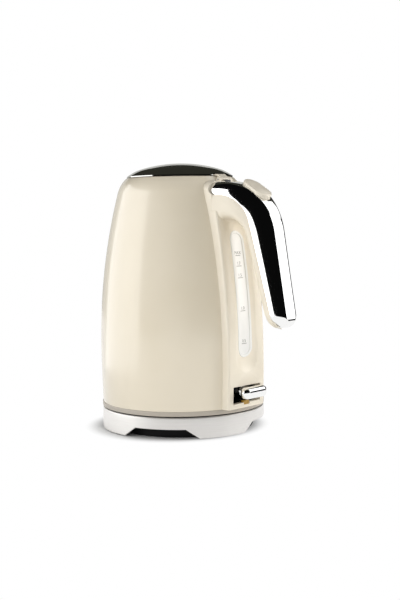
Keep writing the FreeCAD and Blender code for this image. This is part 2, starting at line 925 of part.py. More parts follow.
for side in (-1, 1):
    tower_top = sketch(control_unit, "XY_Plane", z=control_top)
    tower = circle(tower_top, side * d.disc_spread, 0, d.disc_radius + d.disc_seat)
    pad(control_unit, tower, disc_low - control_top)
for side, label in ((-1, "bimetal_disc_left"), (1, "bimetal_disc_right")):
    disc = keep(body(label))
    disc_face = circle(sketch(disc, "XY_Plane", z=disc_low), side * d.disc_spread, 0, d.disc_radius)
    pad(disc, disc_face, d.disc_height)

# Steam switch bracket with cheeks for the lever, the steam tube that ends on it, and the lever's pin
steam_switch = keep(body("steam_switch"))
bracket_in = pivot_x - d.bracket_reach
bracket_out = pivot_x + d.cheek_reach
bracket_top = lever_height + d.lever_stem_radius + d.bracket_rise
cheek_in = d.lever_hub_half + d.free_gap
cheek_out = cheek_in + d.switch_cheek
roof_under = bracket_top - d.bracket_roof
bracket_face = bracket_in + d.bracket_wall
pad_both(
    steam_switch,
    box_outline(sketch(steam_switch, "XZ_Plane"), bracket_in, cover_top, bracket_face, bracket_top),
    cheek_out,
)
pad_both(
    steam_switch,
    box_outline(sketch(steam_switch, "XZ_Plane"), bracket_in, roof_under, bracket_out, bracket_top),
    d.tube_aside + d.tube_radius,
)
for side in (-1, 1):
    cheek = box_outline(
        sketch(steam_switch, "XZ_Plane", z=side * (cheek_in + cheek_out) / 2),
        bracket_in,
        lever_height - d.cheek_reach,
        bracket_out,
        bracket_top,
    )
    pad_both(steam_switch, cheek, d.switch_cheek / 2)
cheek_bore = circle(sketch(steam_switch, "XZ_Plane"), pivot_x, lever_height, d.lever_pin_radius)
cut_both(steam_switch, cheek_bore, 2 * cheek_out)
lever_pin = keep(body("lever_pin"))
pin_face = circle(sketch(lever_pin, "XZ_Plane"), pivot_x, lever_height, d.lever_pin_radius)
pad_both(lever_pin, pin_face, cheek_out)
steam_tube = keep(body("steam_tube"))
tube_drawing = circle(sketch(steam_tube, "XY_Plane", z=bracket_top), tube_x, d.tube_aside, d.tube_radius)
circle(tube_drawing, tube_x, d.tube_aside, d.tube_radius - d.tube_wall)
pad(steam_tube, tube_drawing, shoulder - bracket_top - d.tube_drop)

# Lever that switches the kettle on: a hub on the pin, a stem and a rounded bar
switch_lever = keep(body("switch_lever"))
bar_x = pivot_x + d.lever_length
pad_both(
    switch_lever,
    circle(sketch(switch_lever, "XZ_Plane"), pivot_x, lever_height, d.lever_stem_radius),
    d.lever_hub_half,
)
stem = circle(sketch(switch_lever, "YZ_Plane", z=pivot_x), 0, lever_height, d.lever_stem_radius)
pad(switch_lever, stem, d.lever_length)
bar_straight = d.lever_bar_half - d.lever_bar_radius
bar = outline(
    sketch(switch_lever, "XY_Plane", x=bar_x, z=lever_height),
    (0, -d.lever_bar_half),
    (d.lever_bar_radius, -bar_straight, d.lever_bar_radius, 1),
    (d.lever_bar_radius, bar_straight),
    (0, d.lever_bar_half, d.lever_bar_radius, 1),
)
feature(switch_lever, "Revolution", Profile=bar, ReferenceAxis=(bar, ["V_Axis"]), Angle=360.0)
bore = circle(sketch(switch_lever, "XZ_Plane"), pivot_x, lever_height, d.lever_pin_radius + d.pin_clearance)
cut_both(switch_lever, bore, 2 * d.lever_hub_half)

# Collar inside the mouth that the lid's seal runs in
mouth_collar = keep(body("mouth_collar"))
collar_in = mouth_radius - d.collar_wall - d.collar_inset
collar_top = mouth - d.collar_drop
collar_arc = shoulder_arc - d.jug_wall
turn(
    mouth_collar,
    (collar_in, gate_top),
    (shoulder_at(d.collar_depth, -d.jug_wall) - d.weld_gap, gate_top),
    (shoulder_at(d.collar_drop, -d.jug_wall) - d.weld_gap, collar_top, collar_arc, 1),
    (collar_in, collar_top),
)

# Pouring lip, lofted from a point on the barrel to a wide beak at the mouth
spout = keep(body("spout"))
spout_top = mouth - d.spout_drop
spout_low = spout_top - d.spout_rise


def beak(kind, wall):
    """Loft the spout's outside, or its inside, from two sections."""
    sections = []
    wide_front = shoulder_radius + d.spout_reach - d.spout_blunt
    wide = (shoulder_radius - d.spout_back, d.spout_half_width, wide_front, d.spout_tip)
    narrow_front = shoulder_radius + d.spout_root_reach
    narrow = (shoulder_radius - d.spout_root, d.spout_root_half, narrow_front, d.spout_root_tip)
    for level, (back, back_half, front, half) in ((spout_low, narrow), (spout_top, wide)):
        drawing = sketch(spout, "XY_Plane", z=level)
        tip = 1.1 * half
        outline(
            drawing,
            (-back, -back_half + wall),
            (-front + wall / 2, -half + wall / 2),
            (-front + wall / 2, half - wall / 2, tip - wall / 2, -1),
            (-back, back_half - wall),
        )
        sections.append(drawing)
    return feature(spout, kind, Profile=sections[0], Sections=[sections[1]], Ruled=True)


beak("AdditiveLoft", sized(0))
beak("SubtractiveLoft", d.spout_wall)
clear_inside(spout, sized(0))

# Slotted panel that keeps scale out of the spout, against the inside of the wall
scale_filter = keep(body("scale_filter"))
pad(scale_filter, gate_outline(scale_filter, d.filter_rim), d.belly_radius, Reversed=True)
clear_inside(scale_filter, -d.jug_wall - d.filter_wall)
clear_outside(scale_filter, -d.jug_wall - d.weld_gap)
pitch = 2 * (d.spout_half_width - d.spout_tip) / d.filter_bars
slits_aside = int(d.filter_bars.value) // 2 - 1
for i in range(-slits_aside, slits_aside + 1):
    middle = i * pitch
    low = gate_low + d.filter_sill + abs(i) * d.filter_step
    slit = box_outline(
        sketch(scale_filter, "YZ_Plane"), middle - pitch / 4, low, middle + pitch / 4, gate_top - d.filter_rim
    )
    cut(scale_filter, slit, d.belly_radius)

# Handle: the outer, parting and inner paths in the middle plane
class Bend:
    """A level line that bends down through an arc and leans outward, in the middle plane."""

    def __init__(self, corner, level, lean, arc):
        slope = root(1 + lean * lean)
        side = lean / slope
        reach = arc * root((1 - side) / (1 + side))
        self.corner = corner
        self.level = level
        self.lean = lean
        self.arc = arc
        self.start = (corner - reach, level)
        self.end = (corner + reach * side, level - reach / slope)
        self.tip = (corner + lean * (level - grip_tip), grip_tip)

    def inset(self, depth):
        """The same path moved inward by a depth."""
        shift = depth * self.lean - depth * root(1 + self.lean * self.lean)
        return Bend(self.corner + shift, self.level - depth, self.lean, self.arc - depth)

    def wire(self):
        """Its lines, for finding edges on it."""
        spots = [Vector(sized(x).value, 0, sized(z).value) for x, z in (self.start, self.end, self.tip)]
        centre = Vector(spots[0].x, 0, spots[0].z - self.arc.value)
        middle = (spots[0] + spots[1]) * 0.5 - centre
        on_arc = centre + middle.normalize() * self.arc.value
        root_end = Vector(0, 0, spots[0].z)
        return [
            Part.makeLine(root_end, spots[0]),
            Part.Arc(spots[0], on_arc, spots[1]).toShape(),
            Part.makeLine(spots[1], spots[2]),
        ]


outer_bend = Bend(cover_corner_x, arm_top, d.cover_lean, d.cover_arc)
part_bend = Bend(liner_corner_x, parting, d.liner_lean, d.liner_arc)
inner_corner_x = liner_corner_x + d.liner_lean * d.arm_depth
inner_corner_x = inner_corner_x - d.liner_depth * root(1 + d.liner_lean * d.liner_lean)
inner_bend = Bend(inner_corner_x, arm_low, d.liner_lean, d.inner_arc)
end_arc = d.cover_depth / 2
end_x = arm_start_x + end_arc
end_z = arm_top - end_arc
liner_root = arm_start_x + d.cover_depth / 3
ogee_arc = (d.ogee_length * d.ogee_length) / (4 * (d.housing_half_width - d.grip_half_width))
ogee_arc = ogee_arc + (d.housing_half_width - d.grip_half_width) / 4
grip_far = 2 * d.belly_radius
round_from = grip_tip + d.tip_round


def waist(owner):
    """Narrow a handle piece from the housing's width to the grip's width."""
    wide = d.housing_half_width
    narrow = d.grip_half_width
    middle = (wide + narrow) / 2
    half_way = hinge_x + d.ogee_length / 2
    all_way = hinge_x + d.ogee_length
    drawing = sketch(owner, "XY_Plane", z=mouth)
    for side in (1, -1):
        outline(
            drawing,
            (0, side * 2 * wide),
            (0, side * wide),
            (hinge_x, side * wide),
            (half_way, side * middle, ogee_arc, -side),
            (all_way, side * narrow, ogee_arc, side),
            (grip_far, side * narrow),
            (grip_far, side * 2 * wide),
        )
    feature(owner, "Pocket", Profile=drawing, Type="ThroughAll")


def round_tip(owner):
    """Round the two lower corners of the grip, seen from behind."""
    half = d.grip_half_width
    drawing = sketch(owner, "YZ_Plane")
    for side in (1, -1):
        outline(
            drawing,
            (side * half, round_from),
            (side * (half - d.tip_round), grip_tip, d.tip_round, -side),
            (side * (half - d.tip_round), grip_tip - d.tip_round),
            (side * 2 * half, grip_tip - d.tip_round),
            (side * 2 * half, round_from),
        )
    cut(owner, drawing, grip_far, Reversed=True)


def on_path(bend):
    """A test for edges on a bend's surface, along its sides and round its tip."""
    lines = bend.wire()
    least_y = d.grip_half_width.value - 0.01

    def test(edge):
        for spot in samples(edge):
            if abs(spot.y) < least_y and spot.z > round_from.value:
                return False
            flat = Part.Vertex(spot.x, 0, spot.z)
            if min(flat.distToShape(line)[0] for line in lines) > 0.01:
                return False
        return True

    return test


# Cover of the handle, a polished shell with a round end let into the housing
handle_cover = keep(body("handle_cover"))
pad_both(
    handle_cover,
    outline(
        sketch(handle_cover, "XZ_Plane"),
        outer_bend.start,
        (*outer_bend.end, outer_bend.arc, -1),
        outer_bend.tip,
        part_bend.tip,
        part_bend.end,
        (*part_bend.start, part_bend.arc, 1),
        (arm_start_x, parting),
        (arm_start_x, arm_top),
    ),
    d.housing_half_width,
)
waist(handle_cover)
round_tip(handle_cover)
round_edges(handle_cover, d.cover_edge, on_path(outer_bend))
cover_hollow = outer_bend.inset(d.cover_wall_depth)
cut_both(
    handle_cover,
    outline(
        sketch(handle_cover, "XZ_Plane"),
        cover_hollow.start,
        (*cover_hollow.end, cover_hollow.arc, -1),
        (cover_hollow.corner + d.cover_lean * (cover_hollow.level - round_from), round_from),
        (liner_corner_x + d.liner_lean * (parting - round_from), round_from),
        part_bend.end,
        (*part_bend.start, part_bend.arc, 1),
        (end_x, parting),
        (end_x, arm_top - d.cover_wall_depth),
    ),
    d.grip_half_width - d.cover_edge / 2,
)
latch_gap = d.latch_half_width + d.free_gap
latch_low = parting + d.latch_rise
round_end = outline(
    sketch(handle_cover, "XZ_Plane"),
    (end_x, parting),
    (arm_start_x, end_z, end_arc, -1),
    (end_x, arm_top, end_arc, -1),
    (end_x, mouth),
    (0, mouth),
    (0, parting),
)
cut_both(handle_cover, round_end, 2 * d.housing_half_width)
latch_way_end = end_x + d.latch_way
latch_way = box_outline(sketch(handle_cover, "XZ_Plane"), 0, latch_low - d.free_gap, latch_way_end, mouth)
cut_both(handle_cover, latch_way, latch_gap)

# Lid button on the bend of the handle
button_x = outer_bend.start[0] + outer_bend.arc * sine(d.button_angle)
button_z = arm_top - outer_bend.arc + outer_bend.arc * cosine(d.button_angle)


def button_sketch(owner, depth, grow):
    """The button's outline square to the bend, a depth below its surface, grown all round."""
    drawing = sketch(
        owner,
        "XY_Plane",
        x=button_x - depth * sine(d.button_angle),
        z=button_z - depth * cosine(d.button_angle),
        turned=d.button_angle,
    )
    long = d.button_half_length + grow
    return stadium(drawing, -long, long, d.button_half_width + grow, flat=True)


cut_both(handle_cover, button_sketch(handle_cover, sized(0), d.free_gap), d.button_sunk + d.latch_travel)
lid_button = keep(body("lid_button"))
pad(lid_button, button_sketch(lid_button, d.button_sunk, sized(0)), d.button_sunk + d.button_proud)
button_top = d.button_proud.value
button_normal = Vector(sine(d.button_angle).value, 0, cosine(d.button_angle).value)
button_spot = Vector(button_x.value, 0, button_z.value)
round_edges(
    lid_button,
    d.button_edge,
    lambda edge: all(near((spot - button_spot).dot(button_normal), button_top) for spot in samples(edge)),
)

# Latch bar inside the arm that holds the lid's knuckle
latch_bar = keep(body("latch_bar"))
latch_start = hinge_x + d.hinge_pin_radius + d.knuckle_wall + d.free_gap + d.seat_gap
pad_both(
    latch_bar,
    outline(
        sketch(latch_bar, "XZ_Plane"),
        (latch_start, latch_low),
        (latch_start + d.latch_reach, latch_low),
        (latch_start + d.latch_reach, latch_low + d.latch_height),
        (latch_start + d.latch_height, latch_low + d.latch_height),
        (latch_start + d.latch_height, hinge_z - d.free_gap),
        (latch_start, hinge_z - d.free_gap),
    ),
    d.latch_half_width,
)

# Liner of the handle, set into the housing under the cover
handle_liner = keep(body("handle_liner"))
pad_both(
    handle_liner,
    outline(
        sketch(handle_liner, "XZ_Plane"),
        part_bend.start,
        (*part_bend.end, part_bend.arc, -1),
        part_bend.tip,
        inner_bend.tip,
        inner_bend.end,
        (*inner_bend.start, inner_bend.arc, 1),
        (liner_root, arm_low),
        (liner_root, parting),
    ),
    d.housing_half_width,
)
waist(handle_liner)
round_tip(handle_liner)
round_edges(handle_liner, d.liner_edge, on_path(inner_bend))
clear_inside(handle_liner, d.seat_gap)

# Housing that carries the handle, the gauge and the switch, fitted to the jug's wall
handle_housing = keep(body("handle_housing"))
housing_foot = foot_radius + d.housing_foot_proud
housing_head = shoulder_radius + d.housing_head_proud
housing_back = mouth_radius - d.housing_back
wide = d.housing_half_width
half_turn = Size(180.0, "180.0")
pad_both(
    handle_housing,
    outline(
        sketch(handle_housing, "XZ_Plane", turned=half_turn),
        (-housing_back, ring_top),
        (-housing_foot, ring_top),
        (-housing_head, parting, d.housing_arc, -1),
        (-housing_head, arm_top),
        (-housing_back, arm_top),
    ),
    wide,
)
round_edges(
    handle_housing,
    d.housing_round,
    lambda edge: all(near(abs(spot.y), wide.value) and near(spot.z, arm_top.value) for spot in samples(edge)),
)
round_edges(
    handle_housing,
    d.housing_edge,
    lambda edge: edge.BoundBox.ZLength > d.housing_round.value
    and all(near(abs(spot.y), wide.value) and spot.x > housing_back.value + 1 for spot in samples(edge)),
)
scoop_track = d.barrel_arc + d.scoop_floor + d.scoop_radius
scoop_x = d.belly_radius - d.barrel_arc
scoop_from = arc_sine((d.scoop_low - d.belly_rise) / scoop_track)
scoop_to = arc_sine((d.scoop_high - d.belly_rise) / scoop_track)


def scoop(owner, radius):
    """A round channel down the housing's face, parallel to the barrel, with round ends."""
    section = outline(
        sketch(owner, "XY_Plane", x=scoop_x, z=belly, turned=-scoop_from),
        (scoop_track, radius),
        (scoop_track - radius, 0, radius, 1),
        (scoop_track, -radius, radius, 1),
    )
    sweep = scoop_to - scoop_from
    feature(owner, "Groove", Profile=section, ReferenceAxis=(section, ["V_Axis"]), Angle=sweep, Reversed=True)
    plane = [(origin_feature(owner, "XZ_Plane"), "")]
    for angle in (scoop_from, scoop_to):
        ball = feature(owner, "SubtractiveSphere", Radius=radius + d.scoop_end)
        ball.AttachmentSupport = plane
        ball.MapMode = "FlatFace"
        ball.setExpression("AttachmentOffset.Base.x", (scoop_x + scoop_track * cosine(angle)).text)
        ball.setExpression("AttachmentOffset.Base.y", (belly + scoop_track * sine(angle)).text)


scoop(handle_housing, d.scoop_radius)
gauge_way = stadium(sketch(handle_housing, "YZ_Plane"), gauge_low, gauge_high, d.gauge_half_width)
cut(handle_housing, gauge_way, 2 * d.belly_radius, Reversed=True)
notch_half = d.notch_half_width
notch = box_outline(sketch(handle_housing, "YZ_Plane"), -notch_half, notch_low, notch_half, notch_high)
cut(handle_housing, notch, 2 * d.belly_radius, Reversed=True)
lens_low = notch_low - d.lens_height / 2
lens_high = lens_low + d.lens_height
lens_half = d.lens_half_width
lens_way = box_outline(sketch(handle_housing, "YZ_Plane"), -lens_half, lens_low, lens_half, notch_high)
cut(handle_housing, lens_way, 2 * d.belly_radius, Reversed=True)
recess = outline(
    sketch(handle_housing, "XZ_Plane"),
    (liner_root, end_z - root(end_arc * end_arc - (end_x - liner_root) * (end_x - liner_root))),
    (arm_start_x, end_z, end_arc, -1),
    (end_x, arm_top, end_arc, -1),
    (grip_far, arm_top),
    (grip_far, arm_low),
    (liner_root, arm_low),
)
cut_both(handle_housing, recess, 2 * wide)
blunt_x = arm_start_x + d.housing_blunt
blunt = box_outline(sketch(handle_housing, "XZ_Plane"), blunt_x, end_z, grip_far, mouth)
cut_both(handle_housing, blunt, 2 * wide)
knuckle = d.hinge_pin_radius + d.knuckle_wall
ear_out = d.knuckle_half + d.free_gap + d.ear_width
ear = outline(
    sketch(handle_housing, "XZ_Plane"),
    (hinge_x - knuckle, arm_top - d.ear_root),
    (hinge_x + knuckle, arm_top - d.ear_root),
    (hinge_x + knuckle, hinge_z),
    (hinge_x, hinge_z + knuckle, knuckle, 1),
    (hinge_x - knuckle, hinge_z, knuckle, 1),
)
pad_both(handle_housing, ear, ear_out)
between = box_outline(sketch(handle_housing, "XZ_Plane"), 0, arm_top, grip_far, mouth + knuckle)
cut_both(handle_housing, between, d.knuckle_half + d.free_gap)
swing = circle(sketch(handle_housing, "XZ_Plane"), hinge_x, hinge_z, knuckle + d.free_gap)
cut_both(handle_housing, swing, d.knuckle_half + d.free_gap)
latch_cut = box_outline(
    sketch(handle_housing, "XZ_Plane"), latch_start - d.free_gap, latch_low - d.free_gap, grip_far, mouth
)
cut_both(handle_housing, latch_cut, latch_gap)
pin_way = circle(sketch(handle_housing, "XZ_Plane"), hinge_x, hinge_z, d.hinge_pin_radius)
cut_both(handle_housing, pin_way, 2 * ear_out)
housing_screw_holes(handle_housing, d.screw_radius)
clear_inside(handle_housing, d.seat_gap)
hinge_pin = keep(body("hinge_pin"))
pad_both(hinge_pin, circle(sketch(hinge_pin, "XZ_Plane"), hinge_x, hinge_z, d.hinge_pin_radius), ear_out)

# Two screws from inside the jug's dry foot into the housing
seat = foot_radius - d.jug_wall
screw_reach = screw_aside + d.screw_head_radius
screw_seat = root(seat * seat - screw_reach * screw_reach)
for side, label in ((-1, "housing_screw_left"), (1, "housing_screw_right")):
    screw = keep(body(label))
    aside = side * screw_aside
    shank = circle(sketch(screw, "YZ_Plane", z=screw_seat), aside, screw_height, d.screw_radius)
    pad(screw, shank, d.belly_radius + d.housing_foot_proud / 2 - screw_seat)
    head = circle(sketch(screw, "YZ_Plane", z=screw_seat), aside, screw_height, d.screw_head_radius)
    pad(screw, head, d.screw_head_height, Reversed=True)

# Gauge window through housing and wall, its face raised a little in the scoop, and its gasket
gauge_window = keep(body("gauge_window"))
pad(
    gauge_window,
    stadium(sketch(gauge_window, "YZ_Plane"), gauge_low, gauge_high, d.gauge_half_width),
    d.belly_radius + d.scoop_radius / 2,
)
clear_inside(gauge_window, -d.gauge_depth)
scoop(gauge_window, d.scoop_radius - d.gauge_step)
gauge_gasket = keep(body("gauge_gasket"))
gasket = stadium(sketch(gauge_gasket, "YZ_Plane"), gasket_low, gasket_high, gasket_half)
stadium(gasket, gauge_low, gauge_high, d.gauge_half_width)
pad(gauge_gasket, gasket, d.belly_radius + d.scoop_radius / 2)
clear_inside(gauge_gasket, -d.gauge_depth)
clear_outside(gauge_gasket, d.seat_gap)

# Indicator lens in the sill of the notch, and the lamp behind it
indicator_lens = keep(body("indicator_lens"))
lens_face = housing_foot + d.seat_gap
lens_plane = sketch(indicator_lens, "YZ_Plane", z=lens_face)
lens = box_outline(lens_plane, -lens_half, lens_low, lens_half, lens_high)
pad(indicator_lens, lens, d.lens_depth, Reversed=True)
indicator_lamp = keep(body("indicator_lamp"))
lamp_plane = sketch(indicator_lamp, "YZ_Plane", z=lens_face - d.lens_depth)
lamp = circle(lamp_plane, 0, (lens_low + lens_high) / 2, d.lamp_radius)
pad(indicator_lamp, lamp, d.lamp_length, Reversed=True)

# Lid: a polished dome over a moulded liner with the hinge leaf, and a seal round the liner
lid_dome = keep(body("lid_dome"))
lid_low = mouth + d.lid_gap
rim_top = lid_low + d.lid_rim
cap_drop = d.lid_cap_arc - root(d.lid_cap_arc * d.lid_cap_arc - d.lid_cap_radius * d.lid_cap_radius)
apex = rim_top + d.lid_rise
cap_out = d.lid_cap_radius / d.lid_cap_arc
cap_up = 1 - cap_drop / d.lid_cap_arc
edge_run = lid_radius - d.lid_cap_radius
edge_fall = d.lid_rise - cap_drop
edge_arc = (edge_run * edge_run + edge_fall * edge_fall) / (2 * (cap_up * edge_fall - cap_out * edge_run))
edge_x = d.lid_cap_radius - cap_out * edge_arc
edge_z = apex - cap_drop - cap_up * edge_arc
inner_edge = edge_arc - d.lid_wall
inner_rim = lid_radius - d.lid_wall
inner_rim_top = edge_z + root(inner_edge * inner_edge - (inner_rim - edge_x) * (inner_rim - edge_x))
turn(
    lid_dome,
    (lid_radius, lid_low),
    (lid_radius, rim_top),
    (d.lid_cap_radius, apex - cap_drop, edge_arc, 1),
    (0, apex, d.lid_cap_arc, 1),
    (0, apex - d.lid_wall),
    (
        d.lid_cap_radius - cap_out * d.lid_wall,
        apex - cap_drop - cap_up * d.lid_wall,
        d.lid_cap_arc - d.lid_wall,
        -1,
    ),
    (inner_rim, inner_rim_top, inner_edge, -1),
    (inner_rim, lid_low),
)
flange_low = lid_low + d.leaf_gap
flange_high = flange_low + d.leaf_wall
leaf_in = lid_radius - d.leaf_way
leaf_out = lid_radius + d.leaf_way
leaf_top = flange_high + d.leaf_root
leaf_way = box_outline(sketch(lid_dome, "XZ_Plane"), leaf_in, lid_low - d.leaf_root, leaf_out, leaf_top)
cut_both(lid_dome, leaf_way, d.knuckle_half + d.seat_gap)

lid_liner = keep(body("lid_liner"))
seal_out = collar_in - d.free_gap
plug_radius = seal_out - d.seal_width
plug_low_z = flange_low - d.lid_plug
turn(
    lid_liner,
    (0, plug_low_z),
    (plug_radius, plug_low_z),
    (plug_radius, flange_low),
    (inner_rim, flange_low),
    (inner_rim, flange_low + d.flange_edge),
    (inner_rim - d.flange_bevel, flange_high),
    (plug_radius - d.leaf_wall, flange_high),
    (plug_radius - d.leaf_wall, plug_low_z + d.leaf_wall),
    (0, plug_low_z + d.leaf_wall),
)
leaf = outline(
    sketch(lid_liner, "XZ_Plane"),
    (plug_radius - d.leaf_root, flange_low),
    (mouth_radius + d.leaf_root, flange_low),
    (hinge_x - d.leaf_back, hinge_z + d.leaf_rise),
    (hinge_x + d.leaf_crown, hinge_z + d.leaf_crown),
    (hinge_x - d.leaf_way, flange_high),
    (plug_radius - d.leaf_root, flange_high),
)
pad_both(lid_liner, leaf, d.knuckle_half)
pad_both(lid_liner, circle(sketch(lid_liner, "XZ_Plane"), hinge_x, hinge_z, knuckle), d.knuckle_half)
knuckle_bore = circle(sketch(lid_liner, "XZ_Plane"), hinge_x, hinge_z, d.hinge_pin_radius + d.pin_clearance)
cut_both(lid_liner, knuckle_bore, 2 * d.knuckle_half)
seal_low = flange_low - d.seal_drop
tube("lid_seal", plug_radius, seal_out, seal_low, seal_low + d.seal_height)

doc.recompute()
faults = [item.Label for item in doc.Objects if "Invalid" in item.State or "Error" in item.State]
if faults:
    raise RuntimeError(f"objects that did not compute: {faults}")
for piece in pieces:
    if piece.Shape.isNull() or not piece.Shape.isValid():
        raise RuntimeError(f"{piece.Label} has no valid shape")
    piece.Shape.exportStep(f"parts/{piece.Label}.step")
    print(piece.Label, len(piece.Shape.Solids), piece.Shape.BoundBox)
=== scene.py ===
# %% [markdown]
# A cordless kettle on its power base, dressed for a studio picture.
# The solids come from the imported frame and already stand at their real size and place.
# This lesson keeps the small inner pieces, made smooth, and gives every piece its finish.
# The pieces that the eye rests on are modelled again as even meshes on the same outlines.

# %% Load the frame
import json
import math

import bmesh
import bpy
from mathutils import Matrix, Vector

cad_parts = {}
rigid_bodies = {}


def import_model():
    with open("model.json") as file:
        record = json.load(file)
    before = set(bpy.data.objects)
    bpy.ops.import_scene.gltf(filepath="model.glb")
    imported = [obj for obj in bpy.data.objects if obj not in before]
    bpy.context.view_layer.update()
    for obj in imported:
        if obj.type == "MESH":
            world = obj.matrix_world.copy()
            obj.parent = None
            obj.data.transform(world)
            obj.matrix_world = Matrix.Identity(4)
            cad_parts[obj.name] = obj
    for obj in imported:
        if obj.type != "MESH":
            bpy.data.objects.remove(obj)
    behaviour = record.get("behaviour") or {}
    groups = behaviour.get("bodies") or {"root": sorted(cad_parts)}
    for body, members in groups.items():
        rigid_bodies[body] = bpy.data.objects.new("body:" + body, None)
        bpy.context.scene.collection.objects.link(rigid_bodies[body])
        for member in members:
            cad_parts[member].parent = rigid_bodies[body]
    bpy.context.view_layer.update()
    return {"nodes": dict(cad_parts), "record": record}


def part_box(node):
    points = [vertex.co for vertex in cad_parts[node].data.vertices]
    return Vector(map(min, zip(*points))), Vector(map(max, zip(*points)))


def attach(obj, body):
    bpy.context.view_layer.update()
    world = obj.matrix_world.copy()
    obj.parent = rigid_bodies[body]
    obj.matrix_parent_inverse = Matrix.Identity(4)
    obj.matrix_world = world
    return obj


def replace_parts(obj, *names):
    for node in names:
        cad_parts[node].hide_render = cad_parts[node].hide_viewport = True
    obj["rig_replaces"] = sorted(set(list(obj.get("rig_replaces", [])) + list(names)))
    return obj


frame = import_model()
MM = 0.001
BODY = {node: body for body, nodes in frame["record"]["behaviour"]["bodies"].items() for node in nodes}
SLOT = {part["node"]: part["material_slot"] for part in frame["record"]["subparts"]}

# %% [markdown]
# Every size of the object is in millimetres, as on a drawing, and becomes metres when a mesh is made.
# Heights and radii that a node's box can give are read from the frame.
# The rest are the drawing's own arcs and slopes.

# %% Sizes of the jug
def low(node):
    """A node's lowest corner, in millimetres."""
    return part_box(node)[0] / MM


def high(node):
    """A node's highest corner, in millimetres."""
    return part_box(node)[1] / MM


FOOT_Z = low("jug_shell").z
MOUTH_Z = high("jug_shell").z
RING_RADIUS = high("jug_base_ring").x
RING_PROUD = 0.6
FOOT_RADIUS = RING_RADIUS - RING_PROUD
FOOT_TUCK = 1.0
BELLY_RADIUS = FOOT_RADIUS + FOOT_TUCK
BELLY_RISE = 50.9
BELLY_Z = FOOT_Z + BELLY_RISE
BARREL_ARC = 555.0
SHOULDER_DROP = 13.5
SHOULDER_Z = MOUTH_Z - SHOULDER_DROP
MOUTH_INSET = 8.0
WALL = 0.8
LOWER_ARC = ((BELLY_Z - FOOT_Z) ** 2 + FOOT_TUCK**2) / (2 * FOOT_TUCK)
SHOULDER_RUN = math.sqrt(BARREL_ARC**2 - (SHOULDER_Z - BELLY_Z) ** 2)
SHOULDER_RADIUS = BELLY_RADIUS - BARREL_ARC + SHOULDER_RUN
MOUTH_RADIUS = SHOULDER_RADIUS - MOUTH_INSET
SHOULDER_ARC = (MOUTH_INSET**2 + SHOULDER_DROP**2) / (
    2 * (SHOULDER_RUN * MOUTH_INSET - (SHOULDER_Z - BELLY_Z) * SHOULDER_DROP) / BARREL_ARC
)
print(f"belly {BELLY_RADIUS:.1f}, shoulder {SHOULDER_RADIUS:.1f}, mouth {MOUTH_RADIUS:.1f} mm")

# %% [markdown]
# A few small helpers make nearly every mesh here: points along an arc or a line, a lathe that turns an
# outline about the jug's axis, a skin over rows of points, and a boolean cut.
# Even quads from a lathe or a skin are what glossy enamel and chrome need for a calm reflection.

# %% Points and meshes
MERGE = 0.002
SLIVER = 0.001


def arc(start, end, radius, turn, steps):
    """Points after start up to end on an arc; turn 1 has its centre on the left, -1 on the right."""
    a = Vector(start)
    chord = Vector(end) - a
    aside = math.sqrt(max(radius**2 - chord.length_squared / 4, 0))
    centre = a + chord / 2 + Vector((-chord.y, chord.x)).normalized() * aside * turn
    first = math.atan2(a.y - centre.y, a.x - centre.x)
    sweep = 2 * math.asin(min(chord.length / 2 / radius, 1)) * turn
    angles = [first + sweep * i / steps for i in range(1, steps + 1)]
    return [(centre.x + radius * math.cos(t), centre.y + radius * math.sin(t)) for t in angles]


def line(start, end, steps):
    """Points after start up to end on a straight line."""
    return [tuple(Vector(start).lerp(Vector(end), i / steps)) for i in range(1, steps + 1)]


def soften(mesh, angle=35):
    """Merge doubles, point faces outward, and shade smooth but for edges steeper than an angle."""
    work = bmesh.new()
    work.from_mesh(mesh)
    bmesh.ops.remove_doubles(work, verts=work.verts, dist=MERGE * MM)
    bmesh.ops.dissolve_degenerate(work, edges=work.edges, dist=SLIVER * MM)
    bmesh.ops.recalc_face_normals(work, faces=work.faces)
    for face in work.faces:
        face.smooth = True
    for edge in work.edges:
        edge.smooth = len(edge.link_faces) == 2 and edge.calc_face_angle() < math.radians(angle)
    work.to_mesh(mesh)
    work.free()


def mesh_object(name, points, faces, angle=35):
    """A mesh object from points in millimetres."""
    mesh = bpy.data.meshes.new(name)
    mesh.from_pydata([Vector(p) * MM for p in points], [], faces)
    soften(mesh, angle)
    made = bpy.data.objects.new(name, mesh)
    bpy.context.scene.collection.objects.link(made)
    return made


def skin(name, rows, caps=(True, True), ring=False, angle=35):
    """A skin over rows of equally many points, each a closed loop; ring joins the last row to the first."""
    n = len(rows[0])
    count = len(rows)
    faces = []
    for i in range(count if ring else count - 1):
        j = (i + 1) % count
        for k in range(n):
            m = (k + 1) % n
            faces.append((i * n + k, i * n + m, j * n + m, j * n + k))
    if caps[0] and not ring:
        faces.append(tuple(range(n)))
    if caps[1] and not ring:
        faces.append(tuple(range((count - 1) * n, count * n)))
    return mesh_object(name, [p for row in rows for p in row], faces, angle)


def around(profile, turn):
    """An outline of (radius, height) points at an angle about the jug's axis."""
    return [(r * math.cos(turn), r * math.sin(turn), z) for r, z in profile]


def lathe(name, profile, segments=216, angle=35):
    """A closed outline of (radius, height) points turned about the jug's axis."""
    rows = [around(profile, 2 * math.pi * i / segments) for i in range(segments)]
    return skin(name, rows, ring=True, angle=angle)


def boolean(piece, tool, operation, angle=35):
    """Cut a tool out of a piece, or join it on, and remove the tool."""
    modifier = piece.modifiers.new(operation, "BOOLEAN")
    modifier.operation = operation
    modifier.solver = "EXACT"
    modifier.object = tool
    graph = bpy.context.evaluated_depsgraph_get()
    mesh = bpy.data.meshes.new_from_object(piece.evaluated_get(graph))
    piece.modifiers.clear()
    piece.data = mesh
    bpy.data.objects.remove(tool)
    soften(mesh, angle)
    return piece


